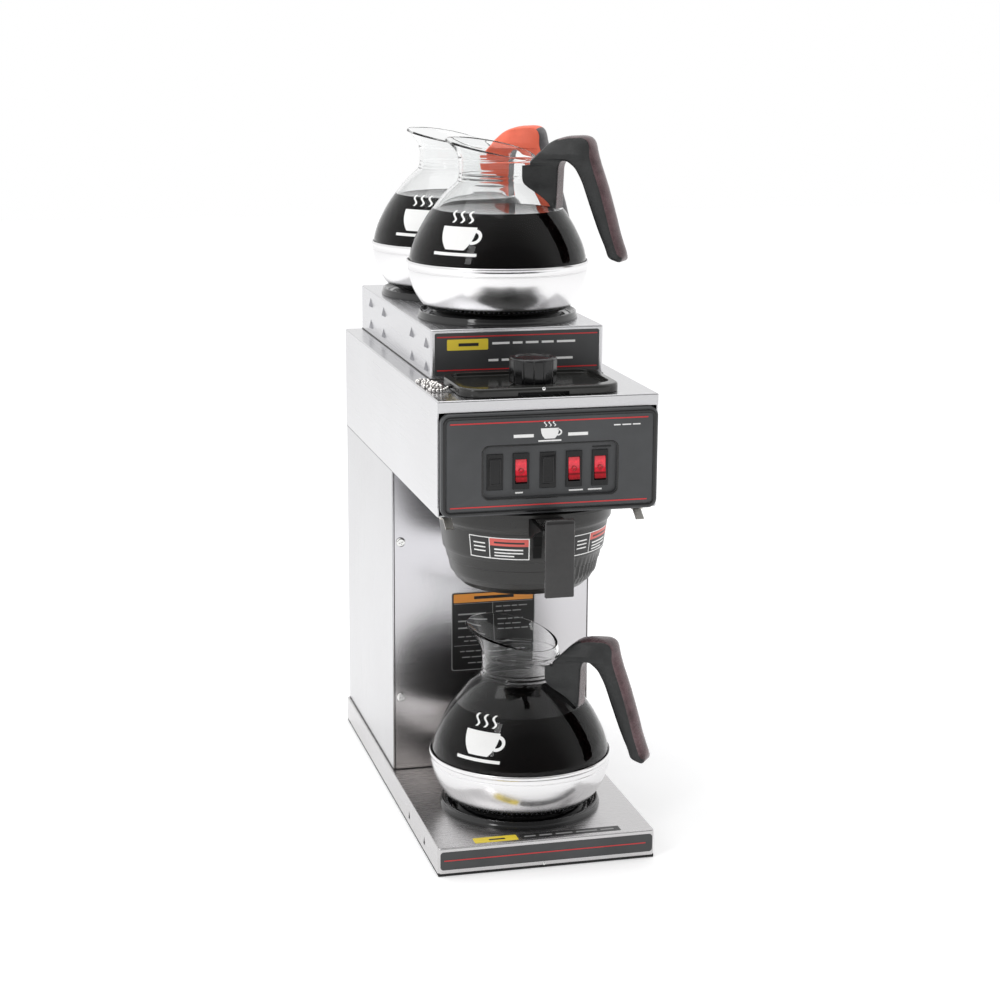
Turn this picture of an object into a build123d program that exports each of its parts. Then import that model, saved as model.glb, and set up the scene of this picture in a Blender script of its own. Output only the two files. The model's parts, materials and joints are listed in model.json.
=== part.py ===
from build123d import *
import os
from math import atan2, cos, hypot, pi, radians, sin

os.makedirs("parts", exist_ok=True)

# ---------------------------------------------------------------- driving dimensions (mm)
# Depths d are measured forward from the rear face of the machine, heights z from the
# surface the feet stand on.  Front is -Y, right is +X, up is +Z.
MID_X = -3.62           # mid-plane of the machine in the part's frame
REAR_Y = 235.9          # rear face of the machine in the part's frame
SHEET = 1.2             # stainless sheet
FOOT_H = 3.0
BASE_W, BASE_D, BASE_H = 203.2, 450.0, 24.0
TRUNK_W, TRUNK_D = 198.0, 240.0
HOOD_W, HOOD_D = 199.0, 440.0
HOOD_Z0, HOOD_Z1 = 329.0, 431.0
BOX_W, BOX_D, BOX_H = 163.0, 331.0, 45.4
DECK_LOW = FOOT_H + BASE_H          # 27
DECK_TOP = HOOD_Z1 + BOX_H          # 476.4
WARM_LOW_D, WARM_FRONT_D, WARM_REAR_D = 350.0, 255.0, 84.0
PLATE_RISE = 8.5        # heated face above its deck
HANDLE_AZ = -37.0       # direction of the decanter handles from +X
FUNNEL_D, FUNNEL_R = 355.0, 90.4
PANEL_Z0, PANEL_Z1, PANEL_W = 329.4, 420.0, 196.0
PANEL_D0, PANEL_D1, POCKET_D = 440.0, 446.0, 443.0
SWITCH_Z = 367.5
SWITCHES = {"lower": -26.1, "front": 21.8, "rear": 45.5}
BLANKS = (-49.4, -1.8)
ROCKER_PIVOT_D, ROCKER_TILT = 440.0, 8.0
TANK_D, TANK_R, TANK_TOP = 120.0, 84.0, 292.0


# ---------------------------------------------------------------- placing helpers
def level(z):
    """Horizontal plane at height z; local x is machine x, local y is minus the depth."""
    return Plane(origin=(MID_X, REAR_Y, z))


def facing(d):
    """Upright plane at depth d looking forward; local x is machine x, local y is height."""
    return Plane(origin=(MID_X, REAR_Y - d, 0), x_dir=(1, 0, 0), z_dir=(0, -1, 0))


def side(x):
    """Upright plane at machine x looking left; local x is depth, local y is height."""
    return Plane(origin=(MID_X + x, REAR_Y, 0), x_dir=(0, -1, 0), z_dir=(-1, 0, 0))


def upright(x, d, z, azimuth=0.0):
    """Upright plane through a vertical axis; local x is the radius, local y the height."""
    a = radians(azimuth)
    return Plane(
        origin=(MID_X + x, REAR_Y - d, z), x_dir=(cos(a), sin(a), 0), z_dir=(sin(a), -cos(a), 0)
    )


def spin(x, d):
    return Axis((MID_X + x, REAR_Y - d, 0), (0, 0, 1))


def at(x, d, z):
    return (MID_X + x, REAR_Y - d, z)


def block(x0, x1, d0, d1, z0, z1, mode=Mode.ADD):
    with Locations(at((x0 + x1) / 2, (d0 + d1) / 2, (z0 + z1) / 2)):
        Box(x1 - x0, d1 - d0, z1 - z0, mode=mode)


def rod(x, d, z0, z1, r, mode=Mode.ADD):
    with Locations(at(x, d, (z0 + z1) / 2)):
        Cylinder(r, z1 - z0, mode=mode)


def inward(points, t):
    """The same curve moved to its left by t."""
    out = []
    for i, (x, y) in enumerate(points):
        a = points[max(i - 1, 0)]
        b = points[min(i + 1, len(points) - 1)]
        dx, dy = b[0] - a[0], b[1] - a[1]
        n = hypot(dx, dy)
        out.append((x - dy / n * t, y + dx / n * t))
    return out


def turned(points, x, d, z=0.0):
    with BuildPart() as piece:
        with BuildSketch(upright(x, d, z)):
            Polygon(*points, align=None)
        revolve(axis=spin(x, d))
    return piece


# ---------------------------------------------------------------- base
with BuildPart() as base_shell:
    block(-BASE_W / 2, BASE_W / 2, 0, BASE_D, FOOT_H, DECK_LOW)
    fillet(base_shell.edges().filter_by(Axis.Z), 3.0)
    fillet(base_shell.faces().sort_by(Axis.Z)[-1].edges(), 1.4)
    block(
        -BASE_W / 2 + SHEET, BASE_W / 2 - SHEET, SHEET, BASE_D - SHEET, FOOT_H, DECK_LOW - SHEET,
        mode=Mode.SUBTRACT,
    )
    rod(0, WARM_LOW_D, DECK_LOW - 5, DECK_LOW + 5, 59.5, mode=Mode.SUBTRACT)
    # wiring slot up into the trunk
    block(55, 85, 205, 225, DECK_LOW - 5, DECK_LOW + 5, mode=Mode.SUBTRACT)
    # triangular louvre openings low on both flanks
    with BuildSketch(side(-BASE_W)):
        for vent_d in (326, 392):
            with Locations((vent_d, 9.0)):
                Polygon((-3.4, 0), (3.4, 0), (0, 8.0), align=None)
    extrude(amount=-2 * BASE_W, mode=Mode.SUBTRACT)
base_shell.part.label = "base_shell"
export_step(base_shell.part, "parts/base_shell.step")

FEET = [(-82, 30), (82, 30), (-82, 420), (82, 420)]
with BuildPart() as base_bottom_plate:
    block(
        -BASE_W / 2 + SHEET, BASE_W / 2 - SHEET, SHEET, BASE_D - SHEET, FOOT_H, FOOT_H + 1.0
    )
    for fx, fd in FEET:
        rod(fx, fd, 0, 10, 2.3, mode=Mode.SUBTRACT)
base_bottom_plate.part.label = "base_bottom_plate"
export_step(base_bottom_plate.part, "parts/base_bottom_plate.step")

with BuildPart() as rubber_feet:
    for fx, fd in FEET:
        rod(fx, fd, 0, FOOT_H, 13)
        rod(fx, fd, -1, 1.6, 4.6, mode=Mode.SUBTRACT)
        rod(fx, fd, 0, FOOT_H + 1, 2.3, mode=Mode.SUBTRACT)
rubber_feet.part.label = "rubber_feet"
export_step(rubber_feet.part, "parts/rubber_feet.step")

with BuildPart() as foot_screws:
    for fx, fd in FEET:
        rod(fx, fd, 0.3, 1.6, 4.2)
        rod(fx, fd, 1.6, 10, 2.0)
foot_screws.part.label = "foot_screws"
export_step(foot_screws.part, "parts/foot_screws.step")

with BuildPart() as base_front_decal:
    with BuildSketch(facing(BASE_D)):
        with Locations((0, 14.8)):
            RectangleRounded(199.0, 16.8, 3.0)
    extrude(amount=0.4)
base_front_decal.part.label = "base_front_decal"
export_step(base_front_decal.part, "parts/base_front_decal.step")

# ---------------------------------------------------------------- trunk
PANEL_SCREWS = [(-91.0, 258.0), (91.0, 258.0), (-91.0, 102.0), (91.0, 102.0)]
GLAND_X, GLAND_Z = -62.0, 62.0
with BuildPart() as trunk_cover:
    block(-TRUNK_W / 2, TRUNK_W / 2, 0, TRUNK_D - SHEET, DECK_LOW, HOOD_Z0)
    fillet(trunk_cover.edges().filter_by(Axis.Z).group_by(Axis.Y)[-1], 3.0)
    block(
        -TRUNK_W / 2 + SHEET, TRUNK_W / 2 - SHEET, SHEET, TRUNK_D - 2 * SHEET,
        DECK_LOW - 1, HOOD_Z0 + 1, mode=Mode.SUBTRACT,
    )
    # opening between the two front flanges
    block(-84, 84, TRUNK_D - 6, TRUNK_D + 6, DECK_LOW - 1, HOOD_Z0 + 1, mode=Mode.SUBTRACT)
    with BuildSketch(facing(TRUNK_D + 5)):
        with Locations(*PANEL_SCREWS):
            Circle(2.0)
    extrude(amount=-20, mode=Mode.SUBTRACT)
    # cord gland hole in the rear wall
    with BuildSketch(facing(-5)):
        with Locations((GLAND_X, GLAND_Z)):
            Circle(8.6)
    extrude(amount=10, mode=Mode.SUBTRACT)
    # rear vent slots
    with BuildSketch(facing(-5)):
        with Locations(*[(0, z) for z in range(230, 311, 10)]):
            SlotOverall(70, 3)
    extrude(amount=10, mode=Mode.SUBTRACT)
trunk_cover.part.label = "trunk_cover"
export_step(trunk_cover.part, "parts/trunk_cover.step")

with BuildPart() as splash_panel:
    block(-98.6, 98.6, TRUNK_D - SHEET, TRUNK_D, DECK_LOW, HOOD_Z0)
    with BuildSketch(facing(TRUNK_D + 5)):
        with Locations(*PANEL_SCREWS):
            Circle(2.2)
    extrude(amount=-20, mode=Mode.SUBTRACT)
splash_panel.part.label = "splash_panel"
export_step(splash_panel.part, "parts/splash_panel.step")

with BuildPart() as splash_panel_screws:
    with BuildSketch(facing(TRUNK_D)):
        with Locations(*PANEL_SCREWS):
            Circle(4.6)
    extrude(amount=2.2)
    fillet(splash_panel_screws.faces().group_by(Axis.Y)[0].edges(), 1.6)
    with BuildSketch(facing(TRUNK_D)):
        with Locations(*PANEL_SCREWS):
            Circle(1.85)
    extrude(amount=-9)
    with BuildSketch(facing(TRUNK_D + 3)):
        with Locations(*PANEL_SCREWS):
            Rectangle(4.4, 0.9, rotation=20)
            Rectangle(0.9, 4.4, rotation=20)
    extrude(amount=-2.0, mode=Mode.SUBTRACT)
splash_panel_screws.part.label = "splash_panel_screws"
export_step(splash_panel_screws.part, "parts/splash_panel_screws.step")

with BuildPart() as cord_gland:
    with BuildSketch(facing(10)):
        with Locations((GLAND_X, GLAND_Z)):
            Circle(8.4)
    extrude(amount=-10)
    with BuildSketch(facing(0)):
        with Locations((GLAND_X, GLAND_Z)):
            RegularPolygon(11.5, 6)
    extrude(amount=-3)
    with BuildSketch(facing(-3)):
        with Locations((GLAND_X, GLAND_Z)):
            Circle(8.4)
    extrude(amount=-5, taper=10)
    with BuildSketch(facing(15)):
        with Locations((GLAND_X, GLAND_Z)):
            Circle(4.5)
    extrude(amount=-30, mode=Mode.SUBTRACT)
cord_gland.part.label = "cord_gland"
export_step(cord_gland.part, "parts/cord_gland.step")

# ---------------------------------------------------------------- hood
BASIN_X, BASIN_D = -3.0, 382.0
with BuildPart() as hood_shell:
    block(-HOOD_W / 2, HOOD_W / 2, 0, HOOD_D, HOOD_Z0, HOOD_Z1)
    fillet(hood_shell.edges().filter_by(Axis.Z).group_by(Axis.Y)[-1], 3.0)
    fillet(hood_shell.faces().sort_by(Axis.Z)[-1].edges(), 1.4)
    block(
        -HOOD_W / 2 + SHEET, HOOD_W / 2 - SHEET, SHEET, HOOD_D - SHEET, HOOD_Z0 - 1, HOOD_Z1 - SHEET,
        mode=Mode.SUBTRACT,
    )
    # the front is open under a short folded lip
    block(
        -HOOD_W / 2 - 1, HOOD_W / 2 + 1, HOOD_D - SHEET, HOOD_D + 5, HOOD_Z0 - 1, PANEL_Z1 + 0.6,
        mode=Mode.SUBTRACT,
    )
    # pour-in opening
    with BuildSketch(level(HOOD_Z1 + 5)):
        with Locations((BASIN_X, -BASIN_D)):
            RectangleRounded(135, 81, 15)
    extrude(amount=-12, mode=Mode.SUBTRACT)
    # wiring hole up into the warmer box
    block(-20, 20, 150, 180, HOOD_Z1 - 5, HOOD_Z1 + 5, mode=Mode.SUBTRACT)
hood_shell.part.label = "hood_shell"
export_step(hood_shell.part, "parts/hood_shell.step")

CUP_R, CUP_TOP = 40.0, 343.0
with BuildPart() as hood_bottom_plate:
    block(
        -HOOD_W / 2 + SHEET, HOOD_W / 2 - SHEET, TRUNK_D - 30, HOOD_D - SHEET, HOOD_Z0, HOOD_Z0 + SHEET
    )
    block(-80, 80, TRUNK_D - 31, TRUNK_D - 2, HOOD_Z0 - 1, HOOD_Z0 + 3, mode=Mode.SUBTRACT)
    rod(0, FUNNEL_D, HOOD_Z0, CUP_TOP, CUP_R)
    rod(0, FUNNEL_D, HOOD_Z0 - 1, CUP_TOP - SHEET, CUP_R - SHEET, mode=Mode.SUBTRACT)
    rod(0, FUNNEL_D, CUP_TOP - 5, CUP_TOP + 5, 6.2, mode=Mode.SUBTRACT)
hood_bottom_plate.part.label = "hood_bottom_plate"
export_step(hood_bottom_plate.part, "parts/hood_bottom_plate.step")

RAIL_Z = 322.8          # underside of the rail flanges that carry the funnel rim
RAIL_D0, RAIL_D1 = 262.0, 422.0
for rail_name, s in (("funnel_rail_left", -1), ("funnel_rail_right", 1)):
    with BuildPart() as rail:
        with BuildSketch(facing(RAIL_D0)):
            Polygon(
                *[
                    (s * 83, RAIL_Z), (s * 93, RAIL_Z), (s * 93, HOOD_Z0 - SHEET), (s * 98, HOOD_Z0 - SHEET),
                    (s * 98, HOOD_Z0), (s * 91.8, HOOD_Z0), (s * 91.8, RAIL_Z + SHEET), (s * 83, RAIL_Z + SHEET),
                ][:: s],
                align=None,
            )
        extrude(amount=RAIL_D1 - RAIL_D0)
        # lead-in: the flange turned down and forward at its front end
        with BuildSketch(side(s * 87.0)):
            Polygon(
                (RAIL_D1 - 2, RAIL_Z), (RAIL_D1 - 2, RAIL_Z + SHEET), (RAIL_D1 + 0.4, RAIL_Z + SHEET),
                (RAIL_D1 + 11.6, RAIL_Z - 6.2), (RAIL_D1 + 10.6, RAIL_Z - 7.0), (RAIL_D1, RAIL_Z), align=None,
            )
        extrude(amount=3.7, both=True)
    rail.part.label = rail_name
    export_step(rail.part, f"parts/{rail_name}.step")

# ---------------------------------------------------------------- moulded front panel and switches
with BuildPart() as front_panel:
    with BuildSketch(facing(PANEL_D0)):
        with Locations((0, (PANEL_Z0 + PANEL_Z1) / 2)):
            RectangleRounded(PANEL_W, PANEL_Z1 - PANEL_Z0, 8)
    extrude(amount=PANEL_D1 - PANEL_D0)
    fillet(front_panel.faces().sort_by(Axis.Y)[0].edges(), 1.6)
    with BuildSketch(facing(PANEL_D1)):
        with Locations((0, SWITCH_Z)):
            RectangleRounded(122, 47, 6)
    extrude(amount=-(PANEL_D1 - POCKET_D), mode=Mode.SUBTRACT)
    # groove that frames the panel face
    with BuildSketch(facing(PANEL_D1)):
        with Locations((0, (PANEL_Z0 + PANEL_Z1) / 2)):
            RectangleRounded(PANEL_W - 8, PANEL_Z1 - PANEL_Z0 - 8, 5)
            RectangleRounded(PANEL_W - 10, PANEL_Z1 - PANEL_Z0 - 10, 4, mode=Mode.SUBTRACT)
    extrude(amount=-0.6, mode=Mode.SUBTRACT)
    # switch cut-outs
    with BuildSketch(facing(PANEL_D1 + 1)):
        with Locations(*[(x, SWITCH_Z) for x in list(SWITCHES.values()) + list(BLANKS)]):
            Rectangle(13.0, 29.8)
    extrude(amount=-10, mode=Mode.SUBTRACT)
    # back ledges that hook behind the hood edges
    block(-97.6, -90, 434, PANEL_D0, 345, 405)
    block(90, 97.6, 434, PANEL_D0, 345, 405)
front_panel.part.label = "front_panel"
export_step(front_panel.part, "parts/front_panel.step")

with BuildPart() as switch_blank_plugs:
    for bx in BLANKS:
        block(bx - 7.25, bx + 7.25, POCKET_D, POCKET_D + 1.0, SWITCH_Z - 16, SWITCH_Z + 16)
        block(bx - 5.6, bx + 5.6, POCKET_D + 1.0, POCKET_D + 1.8, SWITCH_Z - 12, SWITCH_Z + 12)
        block(bx - 6.2, bx + 6.2, POCKET_D - 7, POCKET_D, SWITCH_Z - 14.6, SWITCH_Z + 14.6)
        block(bx - 5.0, bx + 5.0, POCKET_D - 8, POCKET_D - 1, SWITCH_Z - 13.4, SWITCH_Z + 13.4, mode=Mode.SUBTRACT)
switch_blank_plugs.part.label = "switch_blank_plugs"
export_step(switch_blank_plugs.part, "parts/switch_blank_plugs.step")

TRUNNION_R = 1.50
for which, sx in SWITCHES.items():
    with BuildPart() as housing:
        block(sx - 7.25, sx + 7.25, POCKET_D, POCKET_D + 1.5, SWITCH_Z - 16, SWITCH_Z + 16)
        block(sx - 6.3, sx + 6.3, 418, POCKET_D, SWITCH_Z - 14.7, SWITCH_Z + 14.7)
        block(sx - 5.3, sx + 5.3, 430, POCKET_D + 3, SWITCH_Z - 10.9, SWITCH_Z + 10.9, mode=Mode.SUBTRACT)
        with BuildSketch(side(sx - 6.0)):
            with Locations((ROCKER_PIVOT_D, SWITCH_Z)):
                Circle(TRUNNION_R)
        extrude(amount=-12.0, mode=Mode.SUBTRACT)
        # blade terminals
        for tz in (-9, 0, 9):
            block(sx - 2.4, sx + 2.4, 408, 418, SWITCH_Z + tz - 0.4, SWITCH_Z + tz + 0.4)
    housing.part.label = f"switch_housing_{which}"
    export_step(housing.part, f"parts/switch_housing_{which}.step")

    # two-position rocker, resting with its upper end pressed in
    tilt = radians(ROCKER_TILT)
    outline = [(-5.0, 4.5), (-5.0, -4.5), (5.2, -9.9), (4.4, 0.0), (5.2, 9.9)]
    turned_outline = [
        (ROCKER_PIVOT_D + u * cos(tilt) - v * sin(tilt), SWITCH_Z + u * sin(tilt) + v * cos(tilt))
        for u, v in outline
    ]
    with BuildPart() as rocker:
        with BuildSketch(side(sx + 5.0)):
            Polygon(*turned_outline, align=None)
        extrude(amount=10.0)
        with BuildSketch(side(sx + 5.9)):
            with Locations((ROCKER_PIVOT_D, SWITCH_Z)):
                Circle(TRUNNION_R - 0.05)
        extrude(amount=11.8)
    rocker.part.label = f"rocker_{which}"
    export_step(rocker.part, f"parts/rocker_{which}.step")

# ---------------------------------------------------------------- upper warmer box
LOUVRES = [(49, 458), (116, 457.5), (249, 456.5), (312, 456), (50, 436), (115.5, 436), (250.5, 434.5), (312.5, 434.7)]
with BuildPart() as warmer_box_shell:
    block(-BOX_W / 2, BOX_W / 2, 0, BOX_D, HOOD_Z1, DECK_TOP)
    fillet(warmer_box_shell.edges().filter_by(Axis.Z), 2.5)
    fillet(warmer_box_shell.faces().sort_by(Axis.Z)[-1].edges(), 1.4)
    block(
        -BOX_W / 2 + SHEET, BOX_W / 2 - SHEET, SHEET, BOX_D - SHEET, HOOD_Z1 - 1, DECK_TOP - SHEET,
        mode=Mode.SUBTRACT,
    )
    for wd in (WARM_FRONT_D, WARM_REAR_D):
        rod(0, wd, DECK_TOP - 5, DECK_TOP + 5, 59.5, mode=Mode.SUBTRACT)
    # triangular louvre openings in both flanks
    with BuildSketch(side(-BOX_W)):
        for ld, lz in LOUVRES:
            with Locations((ld, lz + 3.0)):
                Polygon((-3.2, 0), (3.2, 0), (0, 8.0), align=None)
    extrude(amount=-2 * BOX_W, mode=Mode.SUBTRACT)
warmer_box_shell.part.label = "warmer_box_shell"
export_step(warmer_box_shell.part, "parts/warmer_box_shell.step")

with BuildPart() as warmer_box_label_plate:
    with BuildSketch(facing(BOX_D)):
        with Locations((0, HOOD_Z1 + BOX_H / 2)):
            RectangleRounded(155, 39, 2)
    extrude(amount=0.4)
warmer_box_label_plate.part.label = "warmer_box_label_plate"
export_step(warmer_box_label_plate.part, "parts/warmer_box_label_plate.step")

# ---------------------------------------------------------------- warmers
WARMERS = {
    "lower": (WARM_LOW_D, DECK_LOW),
    "front": (WARM_FRONT_D, DECK_TOP),
    "rear": (WARM_REAR_D, DECK_TOP),
}
PLATE_OUTLINE = [
    (0, 8.5), (58.4, 8.5), (59.8, 7.9), (60.6, 6.7), (60.6, 1.4), (63.8, 1.4), (63.8, 0), (59.2, 0), (59.2, 7.0), (0, 7.0),
]
RING_OUTLINE = [
    (64, 0), (75.5, 0), (75.5, 4.2), (74.6, 5.4), (73.0, 5.6), (71.8, 4.6), (71.2, 3.2), (65.0, 3.2), (64, 2.6),
]
for which, (wd, deck) in WARMERS.items():
    plate = turned(PLATE_OUTLINE, 0, wd, deck)
    plate.part.label = f"warmer_plate_{which}"
    export_step(plate.part, f"parts/warmer_plate_{which}.step")
with BuildPart() as warmer_rings:
    for which, (wd, deck) in WARMERS.items():
        with BuildSketch(upright(0, wd, deck)):
            Polygon(*RING_OUTLINE, align=None)
        revolve(axis=spin(0, wd))
warmer_rings.part.label = "warmer_rings"
export_step(warmer_rings.part, "parts/warmer_rings.step")
with BuildPart() as warmer_elements:
    for which, (wd, deck) in WARMERS.items():
        rod(0, wd, deck + 1.5, deck + 6.9, 54)
        rod(0, wd, deck - 6, deck + 1.5, 44)
        rod(0, wd, deck - 6.5, deck - 4.8, 36, mode=Mode.SUBTRACT)
        for tx in (-12, 12):
            block(tx - 3, tx + 3, wd - 0.4, wd + 0.4, deck - 14, deck - 4.8)
warmer_elements.part.label = "warmer_elements"
export_step(warmer_elements.part, "parts/warmer_elements.step")

# ---------------------------------------------------------------- pour-in basin and lid
BASIN_TOP = HOOD_Z1 + 1.2
with BuildPart() as basin:
    with BuildSketch(level(HOOD_Z1)):
        with Locations((BASIN_X, -(BASIN_D + 1))):
            RectangleRounded(139.6, 84.2, 18)
    extrude(amount=1.2)
    with BuildSketch(level(398)):
        with Locations((BASIN_X, -BASIN_D)):
            RectangleRounded(134, 80, 14)
    extrude(amount=HOOD_Z1 - 398)
    with BuildSketch(level(399.6)):
        with Locations((BASIN_X, -BASIN_D)):
            RectangleRounded(130.8, 76.8, 12.4)
    extrude(amount=40, mode=Mode.SUBTRACT)
    rod(-30, 352, 388, 398.5, 9)
    rod(-30, 352, 380, 410, 6.2, mode=Mode.SUBTRACT)
basin.part.label = "basin"
export_step(basin.part, "parts/basin.step")

LID_X, LID_D, LID_W, LID_L = -3.0, 386.0, 145.0, 94.0
LID_LOW, LID_UNDER, LID_FLOOR, LID_RIM = 431.3, 432.5, 435.6, 438.9
KNOB_X, KNOB_D, KNOB_Z = -3.2, 396.0, 440.6
with BuildPart() as pour_lid:
    with BuildSketch(level(LID_LOW)):
        with Locations((LID_X, -LID_D)):
            RectangleRounded(LID_W, LID_L, 21)
    extrude(amount=LID_RIM - LID_LOW)
    fillet(pour_lid.faces().sort_by(Axis.Z)[-1].edges(), 2.4)
    # dished top inside a low rim, widest at the front
    with BuildSketch(level(LID_FLOOR)):
        with Locations((LID_X, -(LID_D - 3.5))):
            RectangleRounded(LID_W - 14, LID_L - 19, 14)
    extrude(amount=8, mode=Mode.SUBTRACT)
    with BuildSketch(level(LID_LOW)):
        with Locations((LID_X, -LID_D)):
            RectangleRounded(LID_W - 4, LID_L - 3, 19)
    extrude(amount=LID_UNDER - LID_LOW, mode=Mode.SUBTRACT)
    # locating skirt inside the basin
    with BuildSketch(level(427.2)):
        with Locations((BASIN_X, -BASIN_D)):
            RectangleRounded(128, 74, 11)
            RectangleRounded(124, 70, 9, mode=Mode.SUBTRACT)
    extrude(amount=LID_UNDER + 0.3 - 427.2)
    rod(KNOB_X, KNOB_D, LID_UNDER + 0.5, KNOB_Z, 17)
    rod(KNOB_X, KNOB_D, LID_LOW, KNOB_Z + 10, 2.6, mode=Mode.SUBTRACT)
    # finger notch low in the front edge
    block(-26, 20, LID_D + LID_L / 2 - 5.5, LID_D + LID_L / 2 + 2, LID_LOW - 1, LID_LOW + 3.3, mode=Mode.SUBTRACT)
pour_lid.part.label = "pour_lid"
export_step(pour_lid.part, "parts/pour_lid.step")

with BuildPart() as lid_knob:
    with BuildSketch(level(KNOB_Z)):
        with Locations((KNOB_X, -KNOB_D)):
            RegularPolygon(21.8, 14)
    extrude(amount=19.4)
    chamfer(lid_knob.faces().sort_by(Axis.Z)[-1].edges(), 1.6)
    rod(KNOB_X, KNOB_D, KNOB_Z - 1, KNOB_Z + 11, 2.3, mode=Mode.SUBTRACT)
lid_knob.part.label = "lid_knob"
export_step(lid_knob.part, "parts/lid_knob.step")

with BuildPart() as lid_knob_screw:
    rod(KNOB_X, KNOB_D, LID_UNDER - 2.0, LID_UNDER, 4.5)
    rod(KNOB_X, KNOB_D, LID_UNDER, KNOB_Z + 9, 2.1)
    block(
        KNOB_X - 3.6, KNOB_X + 3.6, KNOB_D - 0.5, KNOB_D + 0.5, LID_UNDER - 3.0, LID_UNDER - 1.2, mode=Mode.SUBTRACT
    )
lid_knob_screw.part.label = "lid_knob_screw"
export_step(lid_knob_screw.part, "parts/lid_knob_screw.step")

# bead chain that keeps the lid with the machine, lying in a small heap on the hood
CHAIN_PITCH = 3.3
CHAIN_BEADS = [(-83.0, 336.0)]
for step in range(4000):
    t = step / 4000
    bead = (-89.0 + 6.0 * cos(2 * pi * 4.5 * t) - 1.5 * sin(5.0 * t), 336.0 + 58.0 * t)
    if hypot(bead[0] - CHAIN_BEADS[-1][0], bead[1] - CHAIN_BEADS[-1][1]) >= CHAIN_PITCH:
        CHAIN_BEADS.append(bead)
with BuildPart() as lid_chain:
    for cx, cd in CHAIN_BEADS:
        with Locations(at(cx, cd, HOOD_Z1 + 1.5)):
            Sphere(1.5)
lid_chain.part.label = "lid_chain"
export_step(lid_chain.part, "parts/lid_chain.step")

# ---------------------------------------------------------------- hot water tank and plumbing
with BuildPart() as tank:
    rod(0, TANK_D, DECK_LOW, TANK_TOP, TANK_R)
    rod(0, TANK_D, DECK_LOW + 1.0, TANK_TOP + 5, TANK_R - 1.0, mode=Mode.SUBTRACT)
    rod(0, TANK_D, TANK_TOP - 1.5, TANK_TOP, TANK_R + 6)
    rod(0, TANK_D, TANK_TOP - 2, TANK_TOP + 1, TANK_R - 1.0, mode=Mode.SUBTRACT)
tank.part.label = "tank"
export_step(tank.part, "parts/tank.step")

GASKET_TOP = TANK_TOP + 2.5
with BuildPart() as tank_gasket:
    rod(0, TANK_D, TANK_TOP, GASKET_TOP, TANK_R + 6)
    rod(0, TANK_D, TANK_TOP - 1, GASKET_TOP + 1, TANK_R - 4, mode=Mode.SUBTRACT)
tank_gasket.part.label = "tank_gasket"
export_step(tank_gasket.part, "parts/tank_gasket.step")

LID_TOP = GASKET_TOP + 1.5
INLET_X, INLET_D = -30.0, 150.0
SPRAY_X, SPRAY_D = 30.0, 150.0
with BuildPart() as tank_lid:
    rod(0, TANK_D, GASKET_TOP, LID_TOP, TANK_R + 6)
    for hx, hd, hr in (
        (-20, 90, 4.2), (20, 90, 4.2), (INLET_X, INLET_D, 6.2), (SPRAY_X, SPRAY_D, 5.2), (0, 60, 3.3),
    ):
        rod(hx, hd, GASKET_TOP - 1, LID_TOP + 1, hr, mode=Mode.SUBTRACT)
tank_lid.part.label = "tank_lid"
export_step(tank_lid.part, "parts/tank_lid.step")

with BuildPart() as tank_heater:
    with BuildLine(facing(90)) as hairpin:
        FilletPolyline((-20, LID_TOP + 14), (-20, 50), (20, 50), (20, LID_TOP + 14), radius=16)
    with BuildSketch(Plane(origin=at(-20, 90, LID_TOP + 14), z_dir=(0, 0, -1))):
        Circle(4.0)
    sweep()
    for hx in (-20, 20):
        block(hx - 0.4, hx + 0.4, 87, 93, LID_TOP + 14, LID_TOP + 22)
        rod(hx, 90, LID_TOP, LID_TOP + 5, 8)
tank_heater.part.label = "tank_heater"
export_step(tank_heater.part, "parts/tank_heater.step")

with BuildPart() as inlet_tube:
    with BuildLine(side(INLET_X)) as run:
        FilletPolyline((352, 399), (352, 372), (INLET_D, 345), (INLET_D, 45), radius=18)
    with BuildSketch(Plane(origin=at(INLET_X, 352, 399), z_dir=(0, 0, -1))):
        Circle(6.0)
        Circle(4.8, mode=Mode.SUBTRACT)
    sweep()
inlet_tube.part.label = "inlet_tube"
export_step(inlet_tube.part, "parts/inlet_tube.step")

with BuildPart() as spray_tube:
    with BuildLine() as run:
        FilletPolyline(
            at(SPRAY_X, SPRAY_D, LID_TOP - 6), at(SPRAY_X, SPRAY_D, 366), at(0, FUNNEL_D, 366), at(0, FUNNEL_D, CUP_TOP + 8),
            radius=14,
        )
    with BuildSketch(Plane(origin=at(SPRAY_X, SPRAY_D, LID_TOP - 6), z_dir=(0, 0, 1))):
        Circle(5.0)
        Circle(4.0, mode=Mode.SUBTRACT)
    sweep()
spray_tube.part.label = "spray_tube"
export_step(spray_tube.part, "parts/spray_tube.step")

with BuildPart() as sprayhead:
    rod(0, FUNNEL_D, 331.0, 334.0, 30)
    rod(0, FUNNEL_D, 334.0, CUP_TOP + 8, 6.0)
    rod(0, FUNNEL_D, 332.5, CUP_TOP + 9, 4.2, mode=Mode.SUBTRACT)
    rod(0, FUNNEL_D, 332.5, 333.2, 27, mode=Mode.SUBTRACT)
    with Locations(at(0, FUNNEL_D, 331.5)):
        with PolarLocations(14, 8):
            Cylinder(1.4, 3, mode=Mode.SUBTRACT)
        with PolarLocations(23, 12):
            Cylinder(1.4, 3, mode=Mode.SUBTRACT)
sprayhead.part.label = "sprayhead"
export_step(sprayhead.part, "parts/sprayhead.step")

with BuildPart() as sprayhead_nut:
    with BuildSketch(level(CUP_TOP)):
        with Locations((0, -FUNNEL_D)):
            RegularPolygon(11, 6)
            Circle(6.15, mode=Mode.SUBTRACT)
    extrude(amount=4.5)
sprayhead_nut.part.label = "sprayhead_nut"
export_step(sprayhead_nut.part, "parts/sprayhead_nut.step")

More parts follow.
